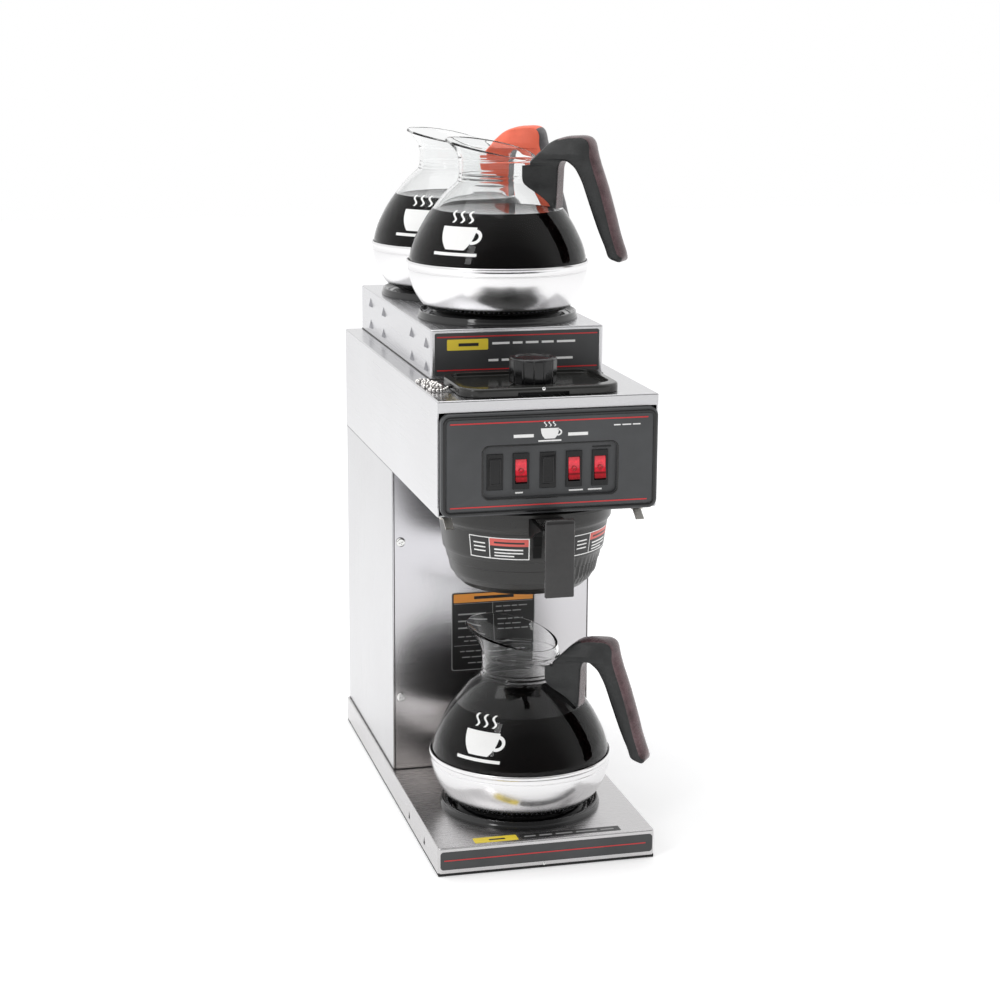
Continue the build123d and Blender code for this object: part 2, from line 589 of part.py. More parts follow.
# ---------------------------------------------------------------- controls inside the hood
with BuildPart() as thermostat:
    block(40, 80, 270, 305, HOOD_Z0 + SHEET, HOOD_Z0 + 24)
    with BuildSketch(facing(305)):
        with Locations((60, HOOD_Z0 + 13)):
            Circle(4)
    extrude(amount=12)
thermostat.part.label = "thermostat"
export_step(thermostat.part, "parts/thermostat.step")

with BuildPart() as thermostat_bulb:
    with BuildLine() as run:
        FilletPolyline(
            at(0, 60, 170), at(0, 60, 322), at(60, 200, 322), at(60, 200, HOOD_Z0 + 12), at(60, 270, HOOD_Z0 + 12),
            radius=7,
        )
    with BuildSketch(Plane(origin=at(0, 60, 170), z_dir=(0, 0, 1))):
        Circle(1.2)
    sweep()
    rod(0, 60, 100, 175, 3.1)
thermostat_bulb.part.label = "thermostat_bulb"
export_step(thermostat_bulb.part, "parts/thermostat_bulb.step")

with BuildPart() as limit_thermostat:
    rod(-50, 100, LID_TOP, LID_TOP + 9, 9)
    rod(-50, 100, LID_TOP, LID_TOP + 2, 12)
    block(-56, -55, 97, 103, LID_TOP + 9, LID_TOP + 17)
    block(-45, -44, 97, 103, LID_TOP + 9, LID_TOP + 17)
limit_thermostat.part.label = "limit_thermostat"
export_step(limit_thermostat.part, "parts/limit_thermostat.step")

with BuildPart() as terminal_block:
    block(-85, -45, 262, 284, HOOD_Z0 + SHEET, HOOD_Z0 + 18)
    for tx in (-77, -65, -53):
        rod(tx, 273, HOOD_Z0 + 12, HOOD_Z0 + 19, 3.4, mode=Mode.SUBTRACT)
        rod(tx, 273, HOOD_Z0 + 12, HOOD_Z0 + 16, 2.8)
terminal_block.part.label = "terminal_block"
export_step(terminal_block.part, "parts/terminal_block.step")

# ---------------------------------------------------------------- brew funnel
FUNNEL_OUT = [
    (90.4, 327.4), (90.4, 324.4), (80.8, 324.4), (80.6, 312.5), (79.6, 309.0), (76.8, 302.0), (75.6, 297.6),
    (74.9, 297.2), (72.0, 284.0), (71.4, 283.6), (69.2, 271.0), (67.4, 265.0), (64.4, 259.0), (63.4, 258.4),
    (59.4, 249.0), (56.5, 247.0), (10.0, 245.0), (9.0, 241.0), (5.0, 241.0),
]
FUNNEL_IN = [
    (5.0, 247.5), (10.0, 248.0), (54.5, 249.6), (57.0, 252.0), (61.0, 261.0), (66.3, 272.0), (72.0, 297.0), (77.0, 313.0),
    (78.2, 318.0), (78.4, 327.4),
]
funnel_body = turned(FUNNEL_OUT + FUNNEL_IN, 0, FUNNEL_D)
funnel_body.part.label = "funnel_body"
export_step(funnel_body.part, "parts/funnel_body.step")

with BuildPart() as funnel_handle:
    with BuildSketch(side(13)):
        Polygon(
            (436.1, 320), (436.1, 324.4), (466, 324.4), (470.5, 328.2), (475, 331), (478.2, 330.6), (479.8, 328.6), (479.8, 261.6),
            (479.2, 261), (475.6, 261), (475.6, 318.0), (473.6, 320),
            align=None,
        )
    extrude(amount=26)
funnel_handle.part.label = "funnel_handle"
export_step(funnel_handle.part, "parts/funnel_handle.step")

# ---------------------------------------------------------------- decanters
GLASS_OUT = [
    (82.8, 46.0), (82.9, 50.0), (82.9, 54.5), (82.3, 59.5), (79.0, 70.5), (72.0, 85.0), (65.2, 96.0), (57.8, 106.0),
    (50.0, 115.4), (43.5, 121.6), (38.6, 126.0), (36.8, 130.0), (36.5, 138.0), (36.7, 146.0), (38.2, 152.0),
    (42.0, 160.0), (50.0, 170.5),
]
BOWL_OUT = [
    (60.0, 9.0), (66.0, 9.8), (70.6, 13.0), (75.6, 20.0), (79.8, 28.0), (82.8, 37.0), (84.2, 45.0), (84.6, 50.5),
]
HANDLE_OUTLINE = [
    (34, 140), (36, 145), (56, 165.5), (69, 170.5), (87, 171.5), (93.5, 168.5), (96.5, 162), (101.5, 145), (109, 125),
    (116, 102), (121.5, 82), (128.5, 64), (125, 56.5), (112.5, 60.5), (110, 69.5), (103, 84.5), (94, 108), (86, 130),
    (79, 142), (71, 147.5), (65.5, 147.5), (63, 142), (61, 104), (57, 102), (50, 102), (38, 118), (34, 124),
]
COFFEE_LEVEL = 101.0
WALL = 2.4


def decanter(which, d, deck):
    glass_in = inward(GLASS_OUT, WALL)
    with BuildPart() as glass:
        with BuildSketch(upright(0, d, deck)):
            with BuildLine():
                Spline(*GLASS_OUT)
                Line(GLASS_OUT[-1], glass_in[-1])
                Spline(*glass_in[::-1])
                Line(glass_in[0], GLASS_OUT[0])
            make_face()
        revolve(axis=spin(0, d))
        # the mouth is cut on a slope that rises to the pouring side, opposite the handle
        with BuildSketch(upright(0, d, deck, HANDLE_AZ)):
            Polygon((-80, 176.0), (80, 140.0), (80, 200), (-80, 200), align=None)
        extrude(amount=80, both=True, mode=Mode.SUBTRACT)
    glass.part.label = f"decanter_{which}_glass"
    export_step(glass.part, f"parts/decanter_{which}_glass.step")

    bowl_in = inward(BOWL_OUT, 0.8)
    with BuildPart() as bowl:
        with BuildSketch(upright(0, d, deck)):
            with BuildLine():
                Polyline((0, 9.8), (0, 9.0), BOWL_OUT[0])
                Spline(*BOWL_OUT)
                Polyline(
                    BOWL_OUT[-1], (85.2, 51.5), (85.4, 53.0), (84.9, 54.4), (83.9, 54.6), (83.2, 53.6), bowl_in[-1]
                )
                Spline(*bowl_in[::-1])
                Line(bowl_in[0], (0, 9.8))
            make_face()
        revolve(axis=spin(0, d))
    bowl.part.label = f"decanter_{which}_bowl"
    export_step(bowl.part, f"parts/decanter_{which}_bowl.step")

    below = [(0, 10.1)] + [(r - 0.3, h + 0.1) for r, h in bowl_in if h < 45.0]
    above = [(r - 0.6, h) for r, h in glass_in if 45.8 < h < COFFEE_LEVEL - 2]
    top_r = above[-1][0] - (COFFEE_LEVEL - above[-1][1]) * 0.76
    with BuildPart() as coffee:
        with BuildSketch(upright(0, d, deck)):
            Polygon(
                *(below + [(82.9, 45.4), (above[0][0], 45.4)] + above + [(top_r, COFFEE_LEVEL), (0, COFFEE_LEVEL)]),
                align=None,
            )
        revolve(axis=spin(0, d))
    coffee.part.label = f"decanter_{which}_coffee"
    export_step(coffee.part, f"parts/decanter_{which}_coffee.step")

    around = [(0, 90.0)] + [(r + 0.5, h) for r, h in GLASS_OUT if h > 90] + [(0, 170.5)]
    with BuildPart(mode=Mode.PRIVATE) as clear_of_glass:
        with BuildSketch(upright(0, d, deck)):
            Polygon(*around, align=None)
        revolve(axis=spin(0, d))
    with BuildPart() as handle:
        with BuildSketch(upright(0, d, deck, HANDLE_AZ)):
            Polygon(*HANDLE_OUTLINE, align=None)
        extrude(amount=11, both=True)
        # band round the neck
        rod(0, d, deck + 127.5, deck + 136.5, 38.6)
        add(clear_of_glass.part, mode=Mode.SUBTRACT)
    handle.part.label = f"decanter_{which}_handle"
    export_step(handle.part, f"parts/decanter_{which}_handle.step")


for which, (wd, deck) in WARMERS.items():
    decanter(which, wd, deck)
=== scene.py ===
import bpy
import bmesh
import json
import math
import random
from math import cos, sin, pi, radians, hypot, sqrt
from mathutils import Vector, Matrix
from mathutils.geometry import tessellate_polygon


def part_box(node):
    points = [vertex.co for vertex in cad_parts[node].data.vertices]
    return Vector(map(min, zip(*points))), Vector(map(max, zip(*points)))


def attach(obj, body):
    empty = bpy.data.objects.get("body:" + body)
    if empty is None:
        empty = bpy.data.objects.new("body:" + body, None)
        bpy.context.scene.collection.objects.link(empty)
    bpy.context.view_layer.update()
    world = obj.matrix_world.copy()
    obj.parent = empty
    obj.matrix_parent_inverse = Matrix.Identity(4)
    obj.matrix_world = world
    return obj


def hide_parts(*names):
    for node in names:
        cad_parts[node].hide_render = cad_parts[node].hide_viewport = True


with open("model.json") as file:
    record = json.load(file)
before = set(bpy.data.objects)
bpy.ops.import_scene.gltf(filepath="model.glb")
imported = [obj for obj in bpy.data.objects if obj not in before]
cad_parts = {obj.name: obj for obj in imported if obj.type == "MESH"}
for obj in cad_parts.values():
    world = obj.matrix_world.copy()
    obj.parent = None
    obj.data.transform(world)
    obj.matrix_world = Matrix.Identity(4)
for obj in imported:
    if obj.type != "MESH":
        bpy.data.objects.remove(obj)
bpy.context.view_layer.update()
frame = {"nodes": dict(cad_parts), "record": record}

# ---------------------------------------------------------------- frame of the machine
MX, RY = -0.00362, 0.2359            # mid-plane and rear face, metres
LOW_D, FRONT_D, REAR_D = 0.350, 0.255, 0.084
DECK_LOW, DECK_TOP = 0.027, 0.4764
HOOD_TOP = 0.431
HANDLE_AZ = radians(-37.0)
FUNNEL_D = 0.355
WARMERS = {"lower": (LOW_D, DECK_LOW), "front": (FRONT_D, DECK_TOP), "rear": (REAR_D, DECK_TOP)}
SWITCHES = {"lower": -0.0261, "front": 0.0218, "rear": 0.0455}
SWITCH_Z = 0.3675
LOUVRES = [(49, 458), (116, 457.5), (249, 456.5), (312, 456), (50, 436), (115.5, 436), (250.5, 434.5), (312.5, 434.7)]
MM = 0.001


def at(x, d, z):
    """A point from machine x, depth forward of the rear face and height."""
    return Vector((MX + x, RY - d, z))


# ---------------------------------------------------------------- materials
def material(name):
    m = bpy.data.materials.new(name)
    m.use_nodes = True
    nt = m.node_tree
    b = nt.nodes["Principled BSDF"]
    return m, nt, b


def node(nt, kind, **inputs):
    n = nt.nodes.new(kind)
    for k, v in inputs.items():
        n.inputs[k].default_value = v
    return n


def obj_noise(nt, scale, detail=3.0, rough=0.55, stretch=(1, 1, 1), distort=0.0, rot=(0, 0, 0)):
    tc = nt.nodes.new("ShaderNodeTexCoord")
    mp = nt.nodes.new("ShaderNodeMapping")
    mp.inputs["Scale"].default_value = stretch
    mp.inputs["Rotation"].default_value = rot
    ns = nt.nodes.new("ShaderNodeTexNoise")
    ns.inputs["Scale"].default_value = scale
    ns.inputs["Detail"].default_value = detail
    ns.inputs["Roughness"].default_value = rough
    ns.inputs["Distortion"].default_value = distort
    nt.links.new(tc.outputs["Object"], mp.inputs["Vector"])
    nt.links.new(mp.outputs["Vector"], ns.inputs["Vector"])
    return ns


def ramp(nt, src, stops):
    r = nt.nodes.new("ShaderNodeValToRGB")
    while len(r.color_ramp.elements) < len(stops):
        r.color_ramp.elements.new(0.5)
    for e, (p, c) in zip(r.color_ramp.elements, stops):
        e.position = p
        e.color = (c, c, c, 1) if isinstance(c, (int, float)) else (*c, 1)
    nt.links.new(src, r.inputs["Fac"])
    return r


def bump(nt, bsdf, src, strength=0.1, distance=0.001):
    b = nt.nodes.new("ShaderNodeBump")
    b.inputs["Strength"].default_value = strength
    b.inputs["Distance"].default_value = distance
    nt.links.new(src, b.inputs["Height"])
    nt.links.new(b.outputs["Normal"], bsdf.inputs["Normal"])
    return b


def grain_coords(nt, what="Object"):
    return nt.nodes.new("ShaderNodeTexCoord").outputs[what]


def multiply(nt, a, c):
    mix = nt.nodes.new("ShaderNodeMix")
    mix.data_type = "RGBA"
    mix.blend_type = "MULTIPLY"
    mix.inputs["Factor"].default_value = 1.0
    nt.links.new(a, mix.inputs["A"])
    nt.links.new(c, mix.inputs["B"])
    return mix.outputs["Result"]


def steel(name, base=(0.80, 0.80, 0.805), rough=(0.20, 0.29), stretch=(4, 500, 500), aniso=0.3, amount=0.03, bump_s=0.02, painted_shade_by_height=None, painted_flank_shade=None):
    """Brushed sheet: fine streaks along one axis in roughness, tint and height, with broad soft clouding."""
    m, nt, b = material(name)
    b.inputs["Metallic"].default_value = 1.0
    b.inputs["Anisotropic"].default_value = aniso
    grain = obj_noise(nt, 1.0, 4.0, 0.65, stretch)
    cloud = obj_noise(nt, 9.0, 2.0, 0.5)
    r = ramp(nt, grain.outputs["Fac"], [(0.3, rough[0]), (0.7, rough[1])])
    nt.links.new(r.outputs["Color"], b.inputs["Roughness"])
    c0 = tuple(v * (1 - amount) for v in base)
    c1 = tuple(min(1, v * (1 + amount)) for v in base)
    tint = ramp(nt, grain.outputs["Fac"], [(0.3, c0), (0.7, c1)])
    soft = ramp(nt, cloud.outputs["Fac"], [(0.3, (0.955, 0.95, 0.95)), (0.7, (1.0, 1.0, 1.0))])
    mix = nt.nodes.new("ShaderNodeMix")
    mix.data_type = "RGBA"
    mix.blend_type = "MULTIPLY"
    mix.inputs["Factor"].default_value = 1.0
    nt.links.new(tint.outputs["Color"], mix.inputs["A"])
    nt.links.new(soft.outputs["Color"], mix.inputs["B"])
    out = mix.outputs["Result"]
    if painted_shade_by_height:
        # painted reflection and shade: the tone changes slowly with height, darker and warmer towards the bottom of the
        # sheet
        sep = nt.nodes.new("ShaderNodeSeparateXYZ")
        nt.links.new(grain_coords(nt), sep.inputs[0])
        rng = nt.nodes.new("ShaderNodeMapRange")
        rng.inputs["From Min"].default_value = painted_shade_by_height[0]
        rng.inputs["From Max"].default_value = painted_shade_by_height[1]
        nt.links.new(sep.outputs["Z"], rng.inputs["Value"])
        g = ramp(nt, rng.outputs["Result"], painted_shade_by_height[2])
        out = multiply(nt, out, g.outputs["Color"])
    if painted_flank_shade:
        # painted shade: darkens the side flanks, where the normal faces along x
        sep = nt.nodes.new("ShaderNodeSeparateXYZ")
        nt.links.new(grain_coords(nt, "Normal"), sep.inputs[0])
        ab = nt.nodes.new("ShaderNodeMath")
        ab.operation = "ABSOLUTE"
        nt.links.new(sep.outputs["X"], ab.inputs[0])
        g = ramp(nt, ab.outputs[0], [(0.6, 1.0), (0.9, painted_flank_shade)])
        out = multiply(nt, out, g.outputs["Color"])
    nt.links.new(out, b.inputs["Base Color"])
    bump(nt, b, grain.outputs["Fac"], bump_s, 0.0004)
    return m


def plastic(name, base, rough=(0.4, 0.5), grain=900.0, bump_s=0.12, tint=0.12, spec=0.5, coat=0.0, coat_rough=0.1, var=18.0):
    """Moulded plastic: fine pebble in height and roughness, slow colour drift."""
    m, nt, b = material(name)
    fine = obj_noise(nt, grain, 2.0, 0.5)
    slow = obj_noise(nt, var, 3.0, 0.6)
    c0 = tuple(v * (1 - tint) for v in base)
    c1 = tuple(min(1, v * (1 + tint)) for v in base)
    c = ramp(nt, slow.outputs["Fac"], [(0.35, c0), (0.65, c1)])
    nt.links.new(c.outputs["Color"], b.inputs["Base Color"])
    r = ramp(nt, fine.outputs["Fac"], [(0.3, rough[0]), (0.7, rough[1])])
    nt.links.new(r.outputs["Color"], b.inputs["Roughness"])
    b.inputs["Specular IOR Level"].default_value = spec
    b.inputs["Coat Weight"].default_value = coat
    b.inputs["Coat Roughness"].default_value = coat_rough
    bump(nt, b, fine.outputs["Fac"], bump_s, 0.0003)
    return m


def polished(name, base, rough=(0.05, 0.09), streak=(0.5, 0.5, 700), amount=0.02, bump_s=0.01):
    m, nt, b = material(name)
    b.inputs["Metallic"].default_value = 1.0
    spin = obj_noise(nt, 1.0, 3.0, 0.6, streak)
    r = ramp(nt, spin.outputs["Fac"], [(0.3, rough[0]), (0.7, rough[1])])
    nt.links.new(r.outputs["Color"], b.inputs["Roughness"])
    c = ramp(nt, spin.outputs["Fac"], [(0.3, tuple(v * (1 - amount) for v in base)), (0.7, base)])
    nt.links.new(c.outputs["Color"], b.inputs["Base Color"])
    bump(nt, b, spin.outputs["Fac"], bump_s, 0.0003)
    return m


M = {}
M["steel_base"] = steel("steel_base", base=(0.60, 0.592, 0.595), rough=(0.25, 0.29), stretch=(8, 1500, 1500), amount=0.012, bump_s=0.006)
# front sheet: painted reflection and shade, darker and warmer towards the bottom
M["steel_splash"] = steel("steel_splash", base=(0.66, 0.655, 0.67), rough=(0.21, 0.26), stretch=(8, 1500, 1500), amount=0.02, bump_s=0.006, painted_shade_by_height=(0.03, 0.33, [(0.0, (0.86, 0.82, 0.775)), (0.35, (0.90, 0.89, 0.885)), (0.75, (0.98, 0.98, 1.0))]))
M["steel_z"] = steel("steel_trunk", base=(0.57, 0.57, 0.58), stretch=(1500, 1500, 8), bump_s=0.01)
M["steel_y"] = steel("steel_hood", base=(0.66, 0.66, 0.672), stretch=(1300, 8, 1300), bump_s=0.012)
M["steel_box"] = steel("steel_box", base=(0.66, 0.66, 0.675), stretch=(1300, 8, 1300), bump_s=0.012)
M["galv"] = steel("galvanised", base=(0.5, 0.51, 0.52), rough=(0.4, 0.5), stretch=(60, 60, 60), aniso=0.0, amount=0.12)
M["rail"] = steel("rail_steel", base=(0.56, 0.54, 0.5), rough=(0.28, 0.38), stretch=(300, 5, 300))
M["bowl"] = polished("bowl_polished", (0.84, 0.835, 0.84), rough=(0.20, 0.26), streak=(0.5, 0.5, 1400), amount=0.05, bump_s=0.02)
M["screw"] = polished("screw_polished", (0.78, 0.78, 0.77), rough=(0.16, 0.22), streak=(300, 300, 300))
M["chain"] = polished("chain_nickel", (0.80, 0.78, 0.76), rough=(0.08, 0.14), streak=(200, 200, 200))
M["brass"] = polished("brass_turned", (0.72, 0.53, 0.24), rough=(0.2, 0.3))
M["copper"] = polished("copper_drawn", (0.72, 0.4, 0.27), rough=(0.25, 0.35))
M["aluminium"] = polished("aluminium_cast", (0.68, 0.68, 0.69), rough=(0.35, 0.5), streak=(150, 150, 150))
M["panel"] = plastic("panel_moulding", (0.056, 0.058, 0.061), rough=(0.38, 0.46), grain=1400, bump_s=0.06)
M["pocket"] = plastic("pocket_moulding", (0.056, 0.057, 0.060), rough=(0.42, 0.5), grain=1400, bump_s=0.08)
M["switch"] = plastic("switch_moulding", (0.005, 0.005, 0.0055), rough=(0.16, 0.22), grain=1200, bump_s=0.015, spec=0.35)
M["enamel"] = plastic("warmer_enamel", (0.004, 0.004, 0.0045), rough=(0.08, 0.13), grain=300, bump_s=0.02, coat=0.3, coat_rough=0.05)
M["lid"] = plastic("lid_gloss", (0.018, 0.018, 0.0165), rough=(0.13, 0.18), grain=1500, bump_s=0.012, tint=0.04)
M["knob"] = plastic("knob_moulding", (0.005, 0.005, 0.0055), rough=(0.14, 0.2), grain=1500, bump_s=0.02)
M["funnel"] = plastic("funnel_moulding", (0.016, 0.0155, 0.0145), rough=(0.27, 0.34), grain=1100, bump_s=0.07)
M["handle"] = plastic("handle_moulding", (0.013, 0.0138, 0.0142), rough=(0.36, 0.5), grain=900, bump_s=0.5, tint=0.25, var=90)
# lighter brown-purple band on the black handles' rounded back and edges: painted reflection
M["spine"] = plastic("handle_spine", (0.105, 0.064, 0.069), rough=(0.2, 0.32), grain=300, bump_s=0.55, tint=0.32, var=70)
M["orange"] = plastic("handle_orange", (0.98, 0.165, 0.085), rough=(0.4, 0.5), grain=800, bump_s=0.3, tint=0.08, var=60)
M["spine_grey"] = plastic("handle_spine_grey", (0.09, 0.085, 0.09), rough=(0.32, 0.45), grain=500, bump_s=0.4, tint=0.3, var=120)
M["decal"] = plastic("decal_film", (0.050, 0.051, 0.053), rough=(0.3, 0.36), grain=700, bump_s=0.02)
M["rubber"] = plastic("foot_rubber", (0.012, 0.012, 0.012), rough=(0.7, 0.8), grain=500, bump_s=0.1)
M["silicone"] = plastic("silicone_tube", (0.72, 0.71, 0.68), rough=(0.4, 0.5), grain=300, bump_s=0.05)
M["gasket"] = plastic("gasket_silicone", (0.35, 0.07, 0.05), rough=(0.5, 0.6), grain=400, bump_s=0.05)
M["phenolic"] = plastic("control_phenolic", (0.09, 0.075, 0.06), rough=(0.4, 0.5), grain=500, bump_s=0.05)
M["ceramic"] = plastic("terminal_ceramic", (0.75, 0.72, 0.64), rough=(0.5, 0.6), grain=500, bump_s=0.05)
M["strap"] = plastic("strap_moulding", (0.026, 0.025, 0.025), rough=(0.15, 0.21), grain=700, bump_s=0.05, tint=0.15, var=40)
M["gloss_edge"] = plastic("panel_edge", (0.007, 0.007, 0.0075), rough=(0.12, 0.18), grain=1200, bump_s=0.015)
# near-black painted shadow for the shaded gap and recess beside the funnel strap
M["ink_shadow"] = plastic("slot_shadow", (0.003, 0.003, 0.003), rough=(0.5, 0.6), grain=700, bump_s=0.02, spec=0.2)
M["ink_dark_red"] = plastic("rocker_mark", (0.30, 0.006, 0.012), rough=(0.25, 0.3), grain=900, bump_s=0.01, tint=0.05)
M["red_line"] = plastic("ink_red", (0.62, 0.025, 0.03), rough=(0.35, 0.4), grain=900, bump_s=0.01, tint=0.05)
M["ink_white"] = plastic("ink_white", (0.82, 0.82, 0.81), rough=(0.4, 0.5), grain=900, bump_s=0.01, tint=0.03)
M["ink_grey"] = plastic("ink_grey", (0.34, 0.34, 0.34), rough=(0.4, 0.5), grain=900, bump_s=0.01, tint=0.05)
M["ink_black"] = plastic("ink_black", (0.014, 0.014, 0.014), rough=(0.32, 0.4), grain=900, bump_s=0.01, tint=0.05)
M["ink_yellow"] = plastic("ink_yellow", (0.86, 0.66, 0.05), rough=(0.35, 0.42), grain=900, bump_s=0.01, tint=0.05)
M["ink_orange"] = plastic("ink_orange", (0.85, 0.33, 0.06), rough=(0.35, 0.42), grain=900, bump_s=0.01, tint=0.06)
M["seam"] = plastic("seam_shadow", (0.030, 0.027, 0.026), rough=(0.5, 0.6), grain=500, bump_s=0.05)
# darker steel for the louvres: painted shade standing in for the shaded openings
M["louvre"] = steel("louvre_painted_shade", base=(0.34, 0.34, 0.36), rough=(0.4, 0.5), stretch=(200, 200, 200), aniso=0.0, amount=0.2)
M["ink_print"] = plastic("ink_print_white", (0.90, 0.90, 0.89), rough=(0.4, 0.5), grain=900, bump_s=0.01, tint=0.02)
M["ink_pink"] = plastic("ink_faded_red", (0.72, 0.12, 0.10), rough=(0.35, 0.42), grain=900, bump_s=0.01, tint=0.08)


def red_rocker():
    """Clear red moulding glowing faintly in its own colours, with painted light and shade by height: a bright upper
    half as painted highlight, a dark painted band below it and dark red at the bottom.
    """
    m, nt, b = material("rocker_red")
    sep = nt.nodes.new("ShaderNodeSeparateXYZ")
    nt.links.new(grain_coords(nt), sep.inputs[0])
    rng = nt.nodes.new("ShaderNodeMapRange")
    rng.inputs["From Min"].default_value = SWITCH_Z - 0.0105
    rng.inputs["From Max"].default_value = SWITCH_Z + 0.0105
    nt.links.new(sep.outputs["Z"], rng.inputs["Value"])
    # painted light and shade by height, used for both the base colour and the glow
    c = ramp(nt, rng.outputs["Result"], [(0.0, (0.16, 0.0015, 0.004)), (0.22, (0.40, 0.006, 0.014)), (0.30, (0.12, 0.001, 0.003)), (0.36, (0.55, 0.010, 0.024)), (0.80, (0.80, 0.020, 0.045)), (1.0, (0.50, 0.008, 0.018))])
    n = obj_noise(nt, 420, 2.0, 0.5)
    v = ramp(nt, n.outputs["Fac"], [(0.3, 0.72), (0.7, 1.0)])
    out = multiply(nt, c.outputs["Color"], v.outputs["Color"])
    nt.links.new(out, b.inputs["Base Color"])
    nt.links.new(out, b.inputs["Emission Color"])
    b.inputs["Emission Strength"].default_value = 0.3
    b.inputs["Roughness"].default_value = 0.08
    b.inputs["Coat Weight"].default_value = 0.5
    return m


M["rocker"] = red_rocker()


def glass():
    m, nt, b = material("decanter_glass")
    b.inputs["Base Color"].default_value = (0.95, 0.955, 0.955, 1)
    b.inputs["Transmission Weight"].default_value = 1.0
    b.inputs["IOR"].default_value = 1.3
    n = obj_noise(nt, 60, 2.0, 0.5)
    r = ramp(nt, n.outputs["Fac"], [(0.3, (0.955, 0.96, 0.96)), (0.7, (0.94, 0.945, 0.945))])
    nt.links.new(r.outputs["Color"], b.inputs["Base Color"])
    b.inputs["Roughness"].default_value = 0.0
    return m


def coffee():
    m, nt, b = material("coffee_liquid")
    n = obj_noise(nt, 25, 2.0, 0.5)
    c = ramp(nt, n.outputs["Fac"], [(0.3, (0.0010, 0.0006, 0.0005)), (0.7, (0.0018, 0.0009, 0.0007))])
    nt.links.new(c.outputs["Color"], b.inputs["Base Color"])
    b.inputs["Roughness"].default_value = 0.05
    b.inputs["IOR"].default_value = 1.33
    b.inputs["Specular IOR Level"].default_value = 0.03
    return m


M["glass"] = glass()
M["coffee"] = coffee()

SLOT = {
    "brushed_stainless": "steel_y", "galvanised_sheet": "galv", "foot_rubber": "rubber", "zinc_screw": "screw", "screw_steel": "screw",
    "black_decal": "decal", "black_nylon": "knob", "rail_steel": "rail", "panel_black": "panel", "switch_black": "switch",
    "rocker_red": "rocker", "warmer_enamel": "enamel", "element_aluminium": "aluminium", "basin_plastic": "pocket", "lid_black": "lid",
    "knob_black": "knob", "bead_chain": "chain", "tank_steel": "galv", "gasket_rubber": "gasket", "heater_sheath": "rail",
    "silicone_tube": "silicone", "sprayhead_steel": "screw", "brass_nut": "brass", "control_body": "phenolic",
    "copper_capillary": "copper", "terminal_ceramic": "ceramic", "funnel_plastic": "funnel", "decanter_glass": "glass",
    "bowl_stainless": "bowl", "coffee_liquid": "coffee", "handle_black": "handle", "handle_orange": "orange",
}
NODE_MAT = {
    "base_shell": "steel_base", "trunk_cover": "steel_z", "splash_panel": "steel_splash", "hood_shell": "steel_y", "warmer_box_shell": "steel_box",
}
for s in frame["record"]["subparts"]:
    o = frame["nodes"][s["node"]]
    o.data.materials.clear()
    o.data.materials.append(M[NODE_MAT.get(s["node"], SLOT[s["material_slot"]])])


# ---------------------------------------------------------------- mesh helpers
def new_obj(name, bm, mat, body, replaces=(), angle=35.0, smooth=True):
    bmesh.ops.recalc_face_normals(bm, faces=bm.faces[:])
    me = bpy.data.meshes.new(name)
    bm.to_mesh(me)
    bm.free()
    o = bpy.data.objects.new(name, me)
    bpy.context.scene.collection.objects.link(o)
    if smooth:
        me.shade_smooth()
        me.set_sharp_from_angle(angle=radians(angle))
    for m in (mat if isinstance(mat, (list, tuple)) else [mat]):
        me.materials.append(M[m])
    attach(o, body)
    if replaces:
        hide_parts(*replaces)
    return o


def subdiv(o, levels=1):
    mod = o.modifiers.new("smooth", "SUBSURF")
    mod.levels = levels
    mod.render_levels = levels
    return o


def bevel(o, width, segments=2, angle=40):
    mod = o.modifiers.new("edges", "BEVEL")
    mod.width = width
    mod.segments = segments
    mod.limit_method = "ANGLE"
    mod.angle_limit = radians(angle)
    mod.harden_normals = False
    return o


def lathe(profile, centre, segs=128, closed=True):
    """profile: (r, z) in metres. Returns a bmesh turned about the vertical axis at centre."""
    bm = bmesh.new()
    rings = []
    for r, z in profile:
        if r < 1e-7:
            rings.append([bm.verts.new((centre[0], centre[1], centre[2] + z))])
        else:
            rings.append([
                bm.verts.new((centre[0] + r * cos(2 * pi * j / segs), centre[1] + r * sin(2 * pi * j / segs), centre[2] + z))
                for j in range(segs)
            ])
    n = len(rings)
    pairs = [(i, i + 1) for i in range(n - 1)] + ([(n - 1, 0)] if closed else [])
    for a, b in pairs:
        A, B = rings[a], rings[b]
        if len(A) == 1 and len(B) == 1:
            continue
        for j in range(segs):
            k = (j + 1) % segs
            if len(A) == 1:
                bm.faces.new((A[0], B[j], B[k]))
            elif len(B) == 1:
                bm.faces.new((A[j], A[k], B[0]))
            else:
                bm.faces.new((A[j], A[k], B[k], B[j]))
    return bm


def catmull(points, per=6):
    """A smooth open curve through the points."""
    out = []
    P = [points[0]] + list(points) + [points[-1]]
    for i in range(1, len(P) - 2):
        p0, p1, p2, p3 = P[i - 1], P[i], P[i + 1], P[i + 2]
        for k in range(per):
            t = k / per
            out.append(tuple(
                0.5 * (2 * b + (c - a) * t + (2 * a - 5 * b + 4 * c - d) * t * t + (3 * b - a - 3 * c + d) * t ** 3)
                for a, b, c, d in zip(p0, p1, p2, p3)
            ))
    out.append(tuple(points[-1]))
    return out


def offset_curve(points, t):
    out = []
    for i, (x, y) in enumerate(points):
        a = points[max(i - 1, 0)]
        b = points[min(i + 1, len(points) - 1)]
        dx, dy = b[0] - a[0], b[1] - a[1]
        n = hypot(dx, dy) or 1
        out.append((x - dy / n * t, y + dx / n * t))
    return out


